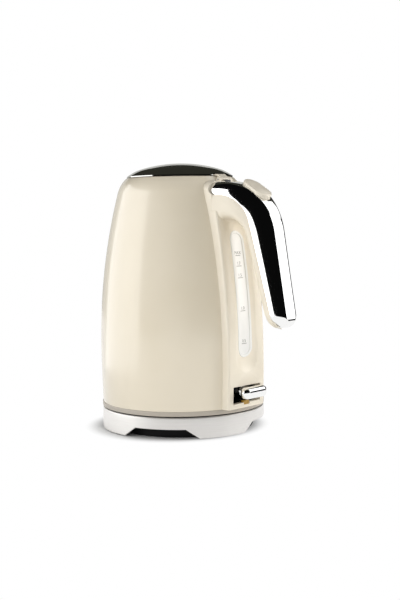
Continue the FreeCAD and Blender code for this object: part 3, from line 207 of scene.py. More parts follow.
def push_x(outline, start, end):
    """A solid from an outline of (y, z) points pushed along X."""
    return skin("tool", [[(x, y, z) for y, z in outline] for x in (start, end)])


def push_y(outline, start, end):
    """A solid from an outline of (x, z) points pushed along Y."""
    return skin("tool", [[(x, y, z) for x, z in outline] for y in (start, end)])


def box_points(left, bottom, right, top):
    """The four corners of an upright box."""
    return [(left, bottom), (right, bottom), (right, top), (left, top)]


def slot_points(bottom, top, half, side_steps=1, end_steps=12):
    """An upright slot with round ends, as (across, up) points."""
    points = []
    for middle, start, other in ((top - half, 0.0, bottom + half), (bottom + half, math.pi, top - half)):
        for i in range(end_steps + 1):
            turn = start + math.pi * i / end_steps
            points.append((half * math.cos(turn), middle + half * math.sin(turn)))
        points += line(points[-1], (points[-1][0], other), side_steps)[:-1]
    return points


def smooth_copy(node, angle=30):
    """A merged, smooth copy of a CAD node, whose own mesh is loose triangles."""
    mesh = frame["nodes"][node].data.copy()
    if "custom_normal" in mesh.attributes:
        mesh.attributes.remove(mesh.attributes["custom_normal"])
    soften(mesh, angle)
    mesh.materials.clear()
    made = bpy.data.objects.new(node + "_smooth", mesh)
    bpy.context.scene.collection.objects.link(made)
    return made


print("helpers ready")

# %% [markdown]
# Finishes come next. Each is named for the real material and how its surface was made.
# Colours are written as sRGB hex, as a colour chart gives them, and one function makes them linear.
# A noise texture's scale is how many features fit in a metre, so it is worked out from a size in
# millimetres. All patterns read Object coordinates, because every piece keeps its place in its mesh.

# %% Finish helpers
def to_linear(code):
    """An sRGB hex colour as linear RGBA."""
    channels = [int(code[i : i + 2], 16) / 255 for i in (1, 3, 5)]
    return tuple(c / 12.92 if c <= 0.04045 else ((c + 0.055) / 1.055) ** 2.4 for c in channels) + (1.0,)


def add(tree, kind, inputs, **settings):
    """Add a node with its settings. An input is a value, an output, or a node with one output."""
    node = tree.nodes.new(kind)
    for name, setting in settings.items():
        setattr(node, name, setting)
    for name, value in inputs.items():
        if isinstance(value, bpy.types.Node):
            value = value.outputs[0]
        if isinstance(value, bpy.types.NodeSocket):
            tree.links.new(value, node.inputs[name])
        else:
            node.inputs[name].default_value = value
    return node


def per_metre(size_mm):
    """The texture scale that gives features of a size in millimetres."""
    return 1 / (size_mm * MM)


def start_finish(name):
    """A material with an empty tree, and the piece's own coordinates in it."""
    material = bpy.data.materials.new(name)
    material.use_nodes = True
    material.node_tree.nodes.clear()
    place = add(material.node_tree, "ShaderNodeTexCoord", {}).outputs["Object"]
    return material, material.node_tree, place


def end_finish(tree, inputs):
    """The shader and the output."""
    shader = add(tree, "ShaderNodeBsdfPrincipled", inputs)
    add(tree, "ShaderNodeOutputMaterial", {"Surface": shader})


print("finish helpers ready")

# %% [markdown]
# The jug is steel with a fired gloss enamel. Enamel is a glass: it has a hard clear top and, below it,
# a colour that is never quite even. A faint orange peel, a few millimetres wide, breaks long highlights.
# The housing and the liner are gloss mouldings of the same cream, a little softer in their shine.

# %% Enamel and cream mouldings
def fired_enamel():
    # Clear hard gloss over a colour that clouds slightly, with faint orange peel
    material, tree, place = start_finish("fired_cream_enamel")
    cloud = add(tree, "ShaderNodeTexNoise", {"Vector": place, "Scale": per_metre(45)})
    peel = add(tree, "ShaderNodeTexNoise", {"Vector": place, "Scale": per_metre(5)})
    tones = {0: cloud, 6: to_linear("#E5DAC3"), 7: to_linear("#EBE1CD")}
    tone = add(tree, "ShaderNodeMix", tones, data_type="RGBA").outputs[2]
    gloss = add(tree, "ShaderNodeMapRange", {"Value": cloud, "To Min": 0.26, "To Max": 0.32})
    bump = add(tree, "ShaderNodeBump", {"Height": peel, "Distance": 0.01 * MM})
    shader = {"Base Color": tone, "Roughness": gloss, "Normal": bump, "IOR": 1.52}
    end_finish(tree, shader | {"Coat Weight": 0.9, "Coat Roughness": 0.14, "Coat IOR": 1.52})
    return material


def moulded_gloss(name, dark, pale, roughness, grain_mm):
    # Gloss moulding: even colour, soft shine, and the faint waviness of the mould's polish
    material, tree, place = start_finish(name)
    cloud = add(tree, "ShaderNodeTexNoise", {"Vector": place, "Scale": per_metre(30)})
    grain = add(tree, "ShaderNodeTexNoise", {"Vector": place, "Scale": per_metre(grain_mm)})
    tones = {0: cloud, 6: to_linear(dark), 7: to_linear(pale)}
    tone = add(tree, "ShaderNodeMix", tones, data_type="RGBA").outputs[2]
    shine = {"Value": grain, "To Min": roughness - 0.04, "To Max": roughness + 0.04}
    gloss = add(tree, "ShaderNodeMapRange", shine)
    bump = add(tree, "ShaderNodeBump", {"Height": grain, "Distance": 0.005 * MM})
    end_finish(tree, {"Base Color": tone, "Roughness": gloss, "Normal": bump, "IOR": 1.54})
    return material


ENAMEL = fired_enamel()
CREAM = moulded_gloss("moulded_cream_abs", "#EAE0CC", "#F0E8D8", 0.3, 1.5)
BEIGE = moulded_gloss("moulded_greybeige_abs", "#B2AA9D", "#BBB3A7", 0.36, 1.0)
print("made", ENAMEL.name, CREAM.name, BEIGE.name)

# %% [markdown]
# Three bright metals: nickel-chrome plate on the handle and the lever, polished stainless on the lid, and
# satin stainless round the base. The dull steel inside the vessel comes with the small parts.
# Brushing is noise pulled out round the jug's axis: many features up the height, few along the turn.
# Real brush lines are finer than a pixel, so they are drawn about three times as coarse.

# %% Bright metals
def polished_metal(name, dark, pale, least, most, haze_mm):
    # Mirror finish, with a haze of fine wiping marks that only changes its sharpness
    material, tree, place = start_finish(name)
    haze = add(tree, "ShaderNodeTexNoise", {"Vector": place, "Scale": per_metre(haze_mm), "Detail": 4.0})
    tones = {0: haze, 6: to_linear(dark), 7: to_linear(pale)}
    tone = add(tree, "ShaderNodeMix", tones, data_type="RGBA").outputs[2]
    gloss = add(tree, "ShaderNodeMapRange", {"Value": haze, "To Min": least, "To Max": most})
    end_finish(tree, {"Base Color": tone, "Roughness": gloss, "Metallic": 1.0})
    return material


def satin_stainless():
    # Fine lines round the skirt that spread a highlight into a soft band. A lacquer dulls the mirror,
    # so it is only partly metallic and stays pale where a bare mirror would go dark
    material, tree, place = start_finish("satin_brushed_stainless")
    pulled = add(tree, "ShaderNodeMapping", {"Vector": place, "Scale": (0.02, 0.02, 1.0)})
    brush = add(tree, "ShaderNodeTexNoise", {"Vector": pulled, "Scale": per_metre(0.4), "Detail": 3.0})
    tones = {0: brush, 6: to_linear("#E2DFDB"), 7: to_linear("#EFEDEA")}
    tone = add(tree, "ShaderNodeMix", tones, data_type="RGBA").outputs[2]
    gloss = add(tree, "ShaderNodeMapRange", {"Value": brush, "To Min": 0.28, "To Max": 0.42})
    bump = add(tree, "ShaderNodeBump", {"Height": brush, "Distance": 0.004 * MM})
    end_finish(tree, {"Base Color": tone, "Roughness": gloss, "Normal": bump, "Metallic": 0.65})
    return material


CHROME = polished_metal("plated_bright_chrome", "#F3F3F2", "#F8F8F7", 0.05, 0.09, 12)
POLISHED = polished_metal("polished_stainless_steel", "#D6D5D1", "#E0DFDC", 0.06, 0.1, 9)
SATIN = satin_stainless()
print("made", CHROME.name, POLISHED.name, SATIN.name)

# %% [markdown]
# Plastics and small parts: black polypropylene inside the base, darker than the plastic itself as painted
# shade under the base, grey nylon for the connector and the switch, clear polycarbonate for the gauge,
# amber acrylic for the lamp, and the brass, rubber, silicone and cast aluminium inside. They differ in
# colour, shine and the size of their grain, so one function with those as its inputs makes them all.

# %% Plastics, rubber and small metals
def grained(name, dark, pale, roughness, grain_mm, depth_mm, **constants):
    # An even fine grain from the mould or the tool, in the colour, the shine and the relief
    material, tree, place = start_finish(name)
    grain = add(tree, "ShaderNodeTexNoise", {"Vector": place, "Scale": per_metre(grain_mm)})
    tones = {0: grain, 6: to_linear(dark), 7: to_linear(pale)}
    tone = add(tree, "ShaderNodeMix", tones, data_type="RGBA").outputs[2]
    shine = {"Value": grain, "To Min": roughness - 0.05, "To Max": roughness + 0.05}
    gloss = add(tree, "ShaderNodeMapRange", shine)
    bump = add(tree, "ShaderNodeBump", {"Height": grain, "Distance": depth_mm * MM})
    values = {name.replace("_", " "): value for name, value in constants.items()}
    end_finish(tree, {"Base Color": tone, "Roughness": gloss, "Normal": bump} | values)
    return material


PLAIN = grained("blasted_stainless_steel", "#B9B7B2", "#CBC9C5", 0.42, 0.6, 0.01, Metallic=1.0)
# Black plastic set darker than the plastic itself: painted shade under the base and in the notch
BLACK = grained("black_polypropylene_and_painted_shade", "#060606", "#0D0D0D", 0.6, 0.7, 0.02, IOR=1.3)
GREY = grained("moulded_grey_nylon", "#464645", "#535352", 0.45, 0.7, 0.015, IOR=1.53)
WHITE = grained("moulded_white_polypropylene", "#D8D7D2", "#E4E3DF", 0.4, 0.9, 0.01, IOR=1.49)
RUBBER = grained("moulded_black_rubber", "#171717", "#222222", 0.75, 0.5, 0.02, IOR=1.5)
SILICONE = grained("moulded_grey_silicone", "#B6B3AA", "#C4C1B8", 0.55, 0.8, 0.01, IOR=1.41)
BRASS = grained("turned_brass", "#B58F4A", "#C9A561", 0.28, 0.5, 0.004, Metallic=1.0)
ZINC = grained("zinc_plated_steel", "#A6A6A3", "#B9B9B6", 0.35, 0.4, 0.004, Metallic=1.0)
CAST = grained("cast_aluminium", "#B2B2B2", "#C4C4C4", 0.45, 0.8, 0.03, Metallic=1.0)
CLEAR = grained("moulded_milky_polycarbonate", "#F0EFEB", "#F6F5F2", 0.15, 8, 0.005, IOR=1.58)
AMBER = grained("moulded_amber_acrylic", "#A07A2C", "#B8903C", 0.14, 5, 0.005, IOR=1.49)
INK = grained("printed_grey_ink", "#6F6B65", "#7C7872", 0.6, 0.4, 0.003, IOR=1.5)
FINISH = {
    "satin_steel": SATIN,
    "black_plastic": BLACK,
    "soft_rubber": RUBBER,
    "contact_brass": BRASS,
    "screw_steel": ZINC,
    "beige_plastic": BEIGE,
    "cream_enamel": ENAMEL,
    "cream_plastic": CREAM,
    "plain_steel": PLAIN,
    "spreader_aluminium": CAST,
    "grey_plastic": GREY,
    "polished_steel": POLISHED,
    "chrome_plate": CHROME,
    "clear_plastic": CLEAR,
    "amber_plastic": AMBER,
    "seal_silicone": SILICONE,
    "white_plastic": WHITE,
}
print("made", len(FINISH), "slot finishes")


def dress(piece, node):
    """Give a piece its node's finish, unless it has one, and its body, and let it stand for the node."""
    if not piece.data.materials:
        piece.data.materials.append(FINISH[SLOT[node]])
    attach(piece, BODY[node])
    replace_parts(piece, node)
    return piece


# %% [markdown]
# The jug is a deep-drawn barrel: three arcs in profile, tangent where they meet, spun round the axis.
# A lathe over those arcs gives a shell with a real wall. Its openings for the spout, the gauge and the
# switch lie under other pieces and are cut afterwards, so the visible wall keeps its even quads.

# %% Jug shell
def jug_outline():
    """The jug's outside from its foot to its mouth, as (radius, height) points."""
    points = [(FOOT_RADIUS, FOOT_Z)]
    points += arc(points[-1], (BELLY_RADIUS, BELLY_Z), LOWER_ARC, 1, 12)
    points += arc(points[-1], (SHOULDER_RADIUS, SHOULDER_Z), BARREL_ARC, 1, 44)
    points += arc(points[-1], (MOUTH_RADIUS, MOUTH_Z), SHOULDER_ARC, 1, 18)
    return points


def jug_radius(height):
    """The jug's outer radius at a height on the barrel."""
    if height < BELLY_Z:
        return BELLY_RADIUS - LOWER_ARC + math.sqrt(LOWER_ARC**2 - (height - BELLY_Z) ** 2)
    return BELLY_RADIUS - BARREL_ARC + math.sqrt(BARREL_ARC**2 - (height - BELLY_Z) ** 2)


GAUGE_LOW = low("gauge_window").z
GAUGE_HIGH = high("gauge_window").z
GAUGE_HALF = high("gauge_window").y
GASKET = 1.4
GATE_LOW = 200.5
GATE_HIGH = 222.5
GATE_FOOT = 6.0
GATE_HEAD = 16.0
LEVER_SLOT_HALF = 18.15
LEVER_SLOT_SILL = 2.5
NOTCH_TOP = 45.0
FAR = 100.0

outside = jug_outline()
inside = [(r - WALL, z) for r, z in reversed(outside)]
jug = lathe("jug_shell_enamelled", outside + inside)
spout_gate = [(-GATE_FOOT, GATE_LOW), (GATE_FOOT, GATE_LOW)]
spout_gate += [(GATE_HEAD, GATE_HIGH), (-GATE_HEAD, GATE_HIGH)]
boolean(jug, push_x(spout_gate, -FAR, -MOUTH_RADIUS / 2), "DIFFERENCE")
gauge_gate = slot_points(GAUGE_LOW - GASKET, GAUGE_HIGH + GASKET, GAUGE_HALF + GASKET)
boolean(jug, push_x(gauge_gate, MOUTH_RADIUS / 2, FAR), "DIFFERENCE")
lever_gate = box_points(-LEVER_SLOT_HALF, FOOT_Z + LEVER_SLOT_SILL, LEVER_SLOT_HALF, NOTCH_TOP)
boolean(jug, push_x(lever_gate, MOUTH_RADIUS / 2, FAR), "DIFFERENCE")
dress(jug, "jug_shell")
print("jug shell:", len(jug.data.polygons), "faces")

# %% [markdown]
# The trim ring is a moulding under the jug's foot. Its two outer edges are broken with a small radius,
# which is what catches the thin light lines above and below it.

# %% Trim ring
RING_LOW = low("jug_base_ring").z
RING_EDGE = 0.7
TONGUE_TOP = high("jug_base_ring").z
TONGUE_GAP = 0.15
TONGUE_WALL = 2.4
RING_LAP = 1.05
RING_FLOOR = 2.2
tongue_out = FOOT_RADIUS - WALL - TONGUE_GAP
tongue_in = tongue_out - TONGUE_WALL
ring_in = tongue_out - RING_LAP
ring_outline = [(ring_in, RING_LOW), (RING_RADIUS - RING_EDGE, RING_LOW)]
ring_outline += arc(ring_outline[-1], (RING_RADIUS, RING_LOW + RING_EDGE), RING_EDGE, 1, 6)
ring_outline += [(RING_RADIUS, FOOT_Z - RING_EDGE)]
ring_outline += arc(ring_outline[-1], (RING_RADIUS - RING_EDGE, FOOT_Z), RING_EDGE, 1, 6)
ring_outline += [(tongue_out, FOOT_Z), (tongue_out, TONGUE_TOP), (tongue_in, TONGUE_TOP)]
ring_outline += [(tongue_in, RING_LOW + RING_FLOOR), (ring_in, RING_LOW + RING_FLOOR)]
ring = dress(lathe("trim_ring", ring_outline), "jug_base_ring")
print("trim ring:", len(ring.data.polygons), "faces")

# %% [markdown]
# The base is a pressed steel skirt with four wide arches, so it stands on four broad feet.
# Here a lathe isn't enough, because the lower edge rises and falls with the angle: each column of points
# asks a small function how high the edge is there. Columns are placed exactly at the arches' corners.

# %% Base skirt
SKIRT_LOW = low("base_skirt").z
SKIRT_TOP = high("base_skirt").z
SKIRT_RADIUS = high("base_skirt").x
SKIRT_TAPER = 0.6
SKIRT_LIP = 2.4
SKIRT_WALL = 1.2
SKIRT_EDGE = 0.9
ARCHES = 4
ARCH_RISE = 8.3
ARCH_FOOT = 35.1
ARCH_HEAD = 23.5
ARCH_TURN = math.radians(28.2)
EDGE_ROUND = 0.35


def skirt_edge(turn):
    """The height of the skirt's lower edge at an angle from an arch's middle."""
    aside = abs(SKIRT_RADIUS * math.sin(turn))
    share = (ARCH_FOOT - aside) / (ARCH_FOOT - ARCH_HEAD)
    return SKIRT_LOW + ARCH_RISE * min(max(share, 0), 1)


def skirt_column(turn):
    """The skirt's section at an angle from an arch's middle, as (radius, height) points."""
    edge = skirt_edge(turn)
    outer = SKIRT_RADIUS - SKIRT_TAPER * (edge - SKIRT_LOW) / (SKIRT_TOP - SKIRT_LOW)
    top = SKIRT_RADIUS - SKIRT_TAPER
    points = [(outer - SKIRT_WALL, edge), (outer - EDGE_ROUND, edge), (outer, edge + EDGE_ROUND)]
    points += line(points[-1], (top, SKIRT_TOP - SKIRT_EDGE), 4)
    points += arc(points[-1], (top - SKIRT_EDGE, SKIRT_TOP), SKIRT_EDGE, 1, 6)
    points += [(top - SKIRT_LIP, SKIRT_TOP), (top - SKIRT_LIP, SKIRT_TOP - SKIRT_WALL)]
    return points + [(top - SKIRT_WALL, SKIRT_TOP - SKIRT_WALL)]


foot_turn = math.asin(ARCH_FOOT / SKIRT_RADIUS)
head_turn = math.asin(ARCH_HEAD / SKIRT_RADIUS)
quarter = math.pi / ARCHES
stops = [(-quarter, 16), (-foot_turn, 8), (-head_turn, 24), (head_turn, 8), (foot_turn, 16), (quarter, 0)]
columns = []
for (start, steps), (end, _) in zip(stops, stops[1:]):
    columns += [start + (end - start) * i / steps for i in range(steps)]
rows = []
for k in range(ARCHES):
    middle = ARCH_TURN + 2 * quarter * k
    rows += [around(skirt_column(turn), middle + turn) for turn in columns]
skirt = dress(skin("base_skirt_brushed", rows, ring=True, angle=28), "base_skirt")
print("base skirt:", len(skirt.data.polygons), "faces")

# %% [markdown]
# The lid is a spun dome: a shallow cap that turns down over a tighter arc to a short upright rim.
# The rim's lower edge is rolled. The gap at the back lets the hinge leaf through.

# %% Lid dome
LID_RADIUS = high("lid_dome").x
LID_LOW = low("lid_dome").z
LID_TOP = high("lid_dome").z
LID_RIM = 1.2
CAP_ARC = 128.0
CAP_RADIUS = 36.0
cap_drop = CAP_ARC - math.sqrt(CAP_ARC**2 - CAP_RADIUS**2)
cap_up = 1 - cap_drop / CAP_ARC
edge_run = LID_RADIUS - CAP_RADIUS
edge_fall = LID_TOP - cap_drop - LID_LOW - LID_RIM
edge_arc = (edge_run**2 + edge_fall**2) / (2 * (cap_up * edge_fall - edge_run * CAP_RADIUS / CAP_ARC))
LID_ROLL = 0.35
LEAF_HALF = 5.15
LEAF_REACH = 4.0
LEAF_DROP = 1.0
LEAF_RISE = 2.5
dome = [(LID_RADIUS - LID_ROLL, LID_LOW), (LID_RADIUS, LID_LOW + LID_ROLL)]
dome += [(LID_RADIUS, LID_LOW + LID_RIM)]
dome += arc(dome[-1], (CAP_RADIUS, LID_TOP - cap_drop), edge_arc, 1, 24)
dome += arc(dome[-1], (0, LID_TOP), CAP_ARC, 1, 24)
under = [(max(r - WALL * r / LID_RADIUS, 0), max(z - WALL, LID_LOW)) for r, z in reversed(dome[2:])]
lid = lathe("lid_dome_polished", dome + under + [(LID_RADIUS - WALL, LID_LOW)])
leaf_low, leaf_high = LID_LOW - LEAF_DROP, LID_LOW + LEAF_RISE
leaf_gap = box_points(LID_RADIUS - LEAF_REACH, leaf_low, LID_RADIUS + LEAF_REACH, leaf_high)
boolean(lid, push_y(leaf_gap, -LEAF_HALF, LEAF_HALF), "DIFFERENCE")
dress(lid, "lid_dome")
print("lid dome:", len(lid.data.polygons), "faces")

# %% [markdown]
# The handle is two long mouldings that part along a line: a chromed cover outside and a cream liner
# inside. Seen from the side, each is the space between two paths, and each path is a level run, a bend
# and a leaning run. Rungs join the paths like a ladder's. On each rung the width is known from the
# handle's plan, and it draws in near the outer path, which rounds the long edges over.

# %% Handle paths
ARM_DROP = 1.0
ARM_TOP = high("handle_cover").z - ARM_DROP
TIP_Z = low("handle_cover").z
COVER_DEPTH = 11.5
LINER_DEPTH = 7.6
PARTING_Z = ARM_TOP - COVER_DEPTH
HINGE_OUT = 6.0
HINGE_X = MOUTH_RADIUS + HINGE_OUT
ARM_INSET = 1.0
WIDE = high("handle_housing").y - ARM_INSET
NARROW = 13.0
OGEE = 68.0
OGEE_ARC = OGEE**2 / (4 * (WIDE - NARROW)) + (WIDE - NARROW) / 4


def half_width(x):
    """The handle's half width at a distance from the jug's axis."""
    run = min(max(x - HINGE_X, 0), OGEE)
    if run < OGEE / 2:
        return WIDE - OGEE_ARC + math.sqrt(OGEE_ARC**2 - run**2)
    return NARROW + OGEE_ARC - math.sqrt(OGEE_ARC**2 - (OGEE - run) ** 2)


class Path:
    """A level run that bends down through an arc and leans outward to the grip's tip, as (x, z) points."""

    def __init__(self, corner, level, lean, radius):
        slope = math.hypot(1, lean)
        reach = radius * math.sqrt((1 - lean / slope) / (1 + lean / slope))
        self.corner = corner
        self.level = level
        self.lean = lean
        self.radius = radius
        self.start = (corner - reach, level)
        self.end = (corner + reach * lean / slope, level - reach / slope)

    def at(self, height):
        """The leaning run's point at a height."""
        return (self.corner + self.lean * (self.level - height), height)

    def bend(self, steps):
        """The arc's points after its start."""
        return arc(self.start, self.end, self.radius, -1, steps)


OUTER_REACH = 35.1
OUTER_LEAN = 0.171
OUTER_ARC = 52.0
PARTING_REACH = 15.2
PARTING_LEAN = 0.254
PARTING_ARC = 30.0
ARM_DEPTH = 20.0
INNER_ARC = 20.0
NO_LENGTH = 1e-12

outer = Path(BELLY_RADIUS + OUTER_REACH, ARM_TOP, OUTER_LEAN, OUTER_ARC)
parting = Path(BELLY_RADIUS + PARTING_REACH, PARTING_Z, PARTING_LEAN, PARTING_ARC)
inner_corner = parting.corner + parting.lean * ARM_DEPTH - LINER_DEPTH * math.hypot(1, parting.lean)
inner = Path(inner_corner, PARTING_Z - ARM_DEPTH, parting.lean, INNER_ARC)
print("bends start at x", [round(path.start[0], 1) for path in (outer, parting, inner)])


def away_from(point, path_points):
    """The distance from a point to a run of points."""
    best = FAR
    for a, b in zip(path_points, path_points[1:]):
        a = Vector(a)
        span = Vector(b) - a
        share = max(0, min(1, (Vector(point) - a).dot(span) / max(span.length_squared, NO_LENGTH)))
        best = min(best, (a + span * share - Vector(point)).length)
    return best


# %% [markdown]
# A moulding's long edge is rounded over. Its section is a quarter of an ellipse: so deep from the face,
# and so far in from the side. Where the two mouldings meet, their sides draw in by a little under a
# millimetre. Polished chrome shows that small turn as a bright strip, because it mirrors something else.
# The grip's tip is a U when it is seen from behind, and the rounding runs round it, so the section also
# asks how far a point lies below the U's middle.

# %% Handle sections
TIP_ROUND = 12.5
TIP_SPREAD = 1.3
SEAM_RUN = 7.5
SEAM_DRAW = 0.8
PATH_STEPS = 40
SIDE_STEPS = 12
SEAM_STEPS = 6
FACE_STEPS = 3
LEAST_SPAN = 0.01
MOST_SIDE = 0.9


class Moulding:
    """The space between an edge path and the parting line, with its edge rounded over."""

    def __init__(self, root, edge, inward, edge_deep, edge_in):
        self.edge = edge
        self.inward = inward
        self.deep = edge_deep
        self.wide = edge_in
        self.edge_points = root + [edge.start] + edge.bend(PATH_STEPS) + [edge.at(TIP_Z - FAR)]
        seam = [(0, parting.level), parting.start] + parting.bend(PATH_STEPS)
        self.seam_points = seam + [parting.at(TIP_Z - FAR)]

    def tip_point(self, height):
        """The face's middle line at a height of the grip, rounded towards the tip."""
        climb = min((height - TIP_Z) / (TIP_SPREAD * self.wide), 1)
        sunk = self.deep * (1 - math.sqrt(1 - (1 - climb) ** 2))
        x, z = self.edge.at(height)
        return (x + self.inward * sunk * math.hypot(1, self.edge.lean), z)

    def half(self, x, z):
        """The half width at a point of the side view."""
        flat = 1 - min(away_from((x, z), self.edge_points) / self.deep, 1)
        seam = 1 - min(away_from((x, z), self.seam_points) / SEAM_RUN, 1)
        inset = self.wide * (1 - math.sqrt(1 - flat**2)) + SEAM_DRAW * seam**2
        below = TIP_Z + TIP_ROUND - z
        if below <= 0:
            return half_width(x) - inset
        return NARROW - TIP_ROUND + math.sqrt(max(max(TIP_ROUND - inset, 0) ** 2 - below**2, 0))

    def section(self, face, back):
        """A closed loop round the moulding where a rung crosses it, with more points where it bends."""
        near = away_from(face, self.edge_points)
        span = max(away_from(back, self.edge_points) - near, LEAST_SPAN)
        first = math.acos(1 - min(near / self.deep, 1))
        turns = [first + (math.pi / 2 - first) * k / SIDE_STEPS for k in range(SIDE_STEPS + 1)]
        shares = [min((self.deep * (1 - math.cos(t)) - near) / span, MOST_SIDE) for t in turns]
        shares += [shares[-1] + (1 - shares[-1]) * k / SEAM_STEPS for k in range(1, SEAM_STEPS + 1)]
        places = [Vector(face).lerp(Vector(back), share) for share in shares]
        side = [(x, self.half(x, z), z) for x, z in places]
        loop = [(face[0], side[0][1] * k / FACE_STEPS, face[1]) for k in range(FACE_STEPS)] + side
        loop += [(back[0], side[-1][1] * k / FACE_STEPS, back[1]) for k in reversed(range(FACE_STEPS))]
        return loop + [(x, -y, z) for x, y, z in reversed(loop[1:-1])]

    def grip(self, face, back):
        """Carry two runs of points from the ends of the bends to the tip."""
        level = TIP_Z + TIP_ROUND
        face += line(face[-1], self.tip_point(level), GRIP_STEPS)
        back += line(back[-1], parting.at(level), GRIP_STEPS)
        for k in range(1, TIP_STEPS + 1):
            height = level - TIP_ROUND * math.sin(math.pi / 2 * k / TIP_STEPS)
            face.append(self.tip_point(height))
            back.append(parting.at(height))


BEND_STEPS = 60
GRIP_STEPS = 30
TIP_STEPS = 20
print("handle sections ready")

# %% [markdown]
# The cover starts in a round C that is let into the housing, runs out level, bends, and leans down to a
# rounded tip. The C's rungs are upright chords of its circle. The button's well is cut last.

# %% Handle cover
END_ARC = COVER_DEPTH / 2
SEAT_GAP = 0.3
END_X = SHOULDER_RADIUS + SEAT_GAP + END_ARC
END_STEPS = 14
RUN_STEPS = 4
COVER_EDGE_DEEP = 16.0
COVER_EDGE_IN = 7.5
BUTTON_ANGLE = math.radians(31.0)
BUTTON_LONG = 14.5
BUTTON_HALF = 9.0
BUTTON_GAP = 0.4
BUTTON_SUNK = 6.0

cover_form = Moulding([(0, ARM_TOP)], outer, -1, COVER_EDGE_DEEP, COVER_EDGE_IN)
face = []
back = []
for k in range(END_STEPS, 0, -1):
    turn = math.radians(90 * k / END_STEPS)
    x = END_X - END_ARC * math.sin(turn)
    face.append((x, ARM_TOP - END_ARC + END_ARC * math.cos(turn)))
    back.append((x, ARM_TOP - END_ARC - END_ARC * math.cos(turn)))
face.append((END_X, ARM_TOP))
back.append((END_X, PARTING_Z))
face += line(face[-1], outer.start, RUN_STEPS) + outer.bend(BEND_STEPS)
back += line(back[-1], parting.start, RUN_STEPS) + parting.bend(BEND_STEPS)
cover_form.grip(face, back)
rows = [cover_form.section(f, b) for f, b in zip(face, back)]
cover = skin("handle_cover_chromed", rows, caps=(False, True), angle=32)

button_out = Vector((math.sin(BUTTON_ANGLE), 0, math.cos(BUTTON_ANGLE)))
button_along = Vector((math.cos(BUTTON_ANGLE), 0, -math.sin(BUTTON_ANGLE)))
button_middle = Vector((outer.start[0], 0, ARM_TOP - outer.radius)) + button_out * outer.radius


def button_loop(inset, rise):
    """The button's outline drawn in by an inset, at a height over the bend."""
    half = BUTTON_HALF - inset
    reach = BUTTON_LONG - inset
    outline = slot_points(-reach, reach, half, side_steps=8, end_steps=16)
    points = []
    for across, along in outline:
        spot = button_middle + button_along * along + Vector((0, across, 0)) + button_out * rise
        points.append(tuple(spot))
    return points


well = skin("tool", [button_loop(-BUTTON_GAP, -BUTTON_SUNK), button_loop(-BUTTON_GAP, 3 * BUTTON_SUNK)])
boolean(cover, well, "DIFFERENCE", angle=32)
dress(cover, "handle_cover")
print("handle cover:", len(cover.data.polygons), "faces")

# %% [markdown]
# The liner is the same ladder on the inner side of the parting line. Under the arm it flares down in a
# hollow curve and dies into the housing, as a moulded handle does where a finger slides in.
# Its root grows wider and runs on inside the housing, so that no step shows where they meet.

# %% Handle liner
FLARE_ARC = 9.0
FLARE_STEPS = 14
LINER_ROOT = SHOULDER_RADIUS + SEAT_GAP + COVER_DEPTH / 3
LINER_EDGE_DEEP = 6.5
LINER_EDGE_IN = 6.0
ROOT_LONG = 5.0
ROOT_RUN = 12.0
ROOT_SPREAD = 0.05
ROOT_X = low("handle_liner").x


def root_spread(x):
    """How much wider the liner is towards the housing's front."""
    near = 1 - min(max((x - ROOT_X) / ROOT_RUN, 0), 1)
    return 1 + ROOT_SPREAD * near**2


flare_foot = (inner.start[0] - FLARE_ARC, inner.level - FLARE_ARC)
flare = [flare_foot] + arc(flare_foot, inner.start, FLARE_ARC, -1, FLARE_STEPS)
liner_root = [(flare_foot[0], 0)] + flare[:-1]
liner_form = Moulding(liner_root, inner, 1, LINER_EDGE_DEEP, LINER_EDGE_IN)
face = flare + inner.bend(BEND_STEPS)
back = [(LINER_ROOT, PARTING_Z)]
back += line(back[-1], parting.start, FLARE_STEPS) + parting.bend(BEND_STEPS)
liner_form.grip(face, back)
rows = [liner_form.section(f, b) for f, b in zip(face, back)]
rows.insert(0, [(x - ROOT_LONG, y, z) for x, y, z in rows[0]])
rows = [[(x, y * root_spread(x), z) for x, y, z in row] for row in rows]
liner = dress(skin("handle_liner_moulded", rows, angle=32), "handle_liner")
print("handle liner:", len(liner.data.polygons), "faces")

# %% [markdown]
# The lid button is a soft-edged pad. Loops of one slot outline, drawn in step by step, climb a quarter
# round at the edge and then a low crown, so a thumb and a highlight both find its middle.

# %% Lid button
BUTTON_EDGE = 1.2
BUTTON_RIM = 1.7
CROWN = 1.1
EDGE_STEPS = 8
CROWN_STEPS = 6

rows = [button_loop(0, -BUTTON_SUNK), button_loop(0, 0), button_loop(0, BUTTON_RIM)]
for k in range(1, EDGE_STEPS + 1):
    turn = math.radians(90 * k / EDGE_STEPS)
    rows.append(button_loop(BUTTON_EDGE * (1 - math.cos(turn)), BUTTON_RIM + BUTTON_EDGE * math.sin(turn)))
for k in range(1, CROWN_STEPS + 1):
    share = k / CROWN_STEPS
    inset = BUTTON_EDGE + (BUTTON_HALF - BUTTON_EDGE) * share
    rows.append(button_loop(inset, BUTTON_RIM + BUTTON_EDGE + CROWN * (1 - (1 - share) ** 2)))
button = dress(skin("lid_button_moulded", rows, caps=(True, False), angle=40), "lid_button")
print("lid button:", len(button.data.polygons), "faces")

# %% [markdown]
# The switch lever is a chromed bar with round ends on a short stem, like a small capsule held crosswise.
# Capsule, stem, collar and hub are turned shapes, joined by boolean unions into one closed mesh.

# %% Switch lever
LEVER_Z = (low("switch_lever").z + high("switch_lever").z) / 2
PIVOT_INSET = 15.2
PIVOT_X = BELLY_RADIUS - PIVOT_INSET
LEVER_LONG = 27.0
BAR_X = PIVOT_X + LEVER_LONG
BAR_RADIUS = 5.1
BAR_HALF = 14.8
BAR_POWER = 2.8
STEM_RADIUS = 4.2
COLLAR_AT = 11.5
COLLAR_LONG = 2.0
COLLAR_RADIUS = 4.7
NECK_RADIUS = 3.2
HUB_HALF = 7.0
HUB_EASE = 0.01
PIN_RADIUS = 1.55
ROUND_STEPS = 12
POLE_RADIUS = 0.05


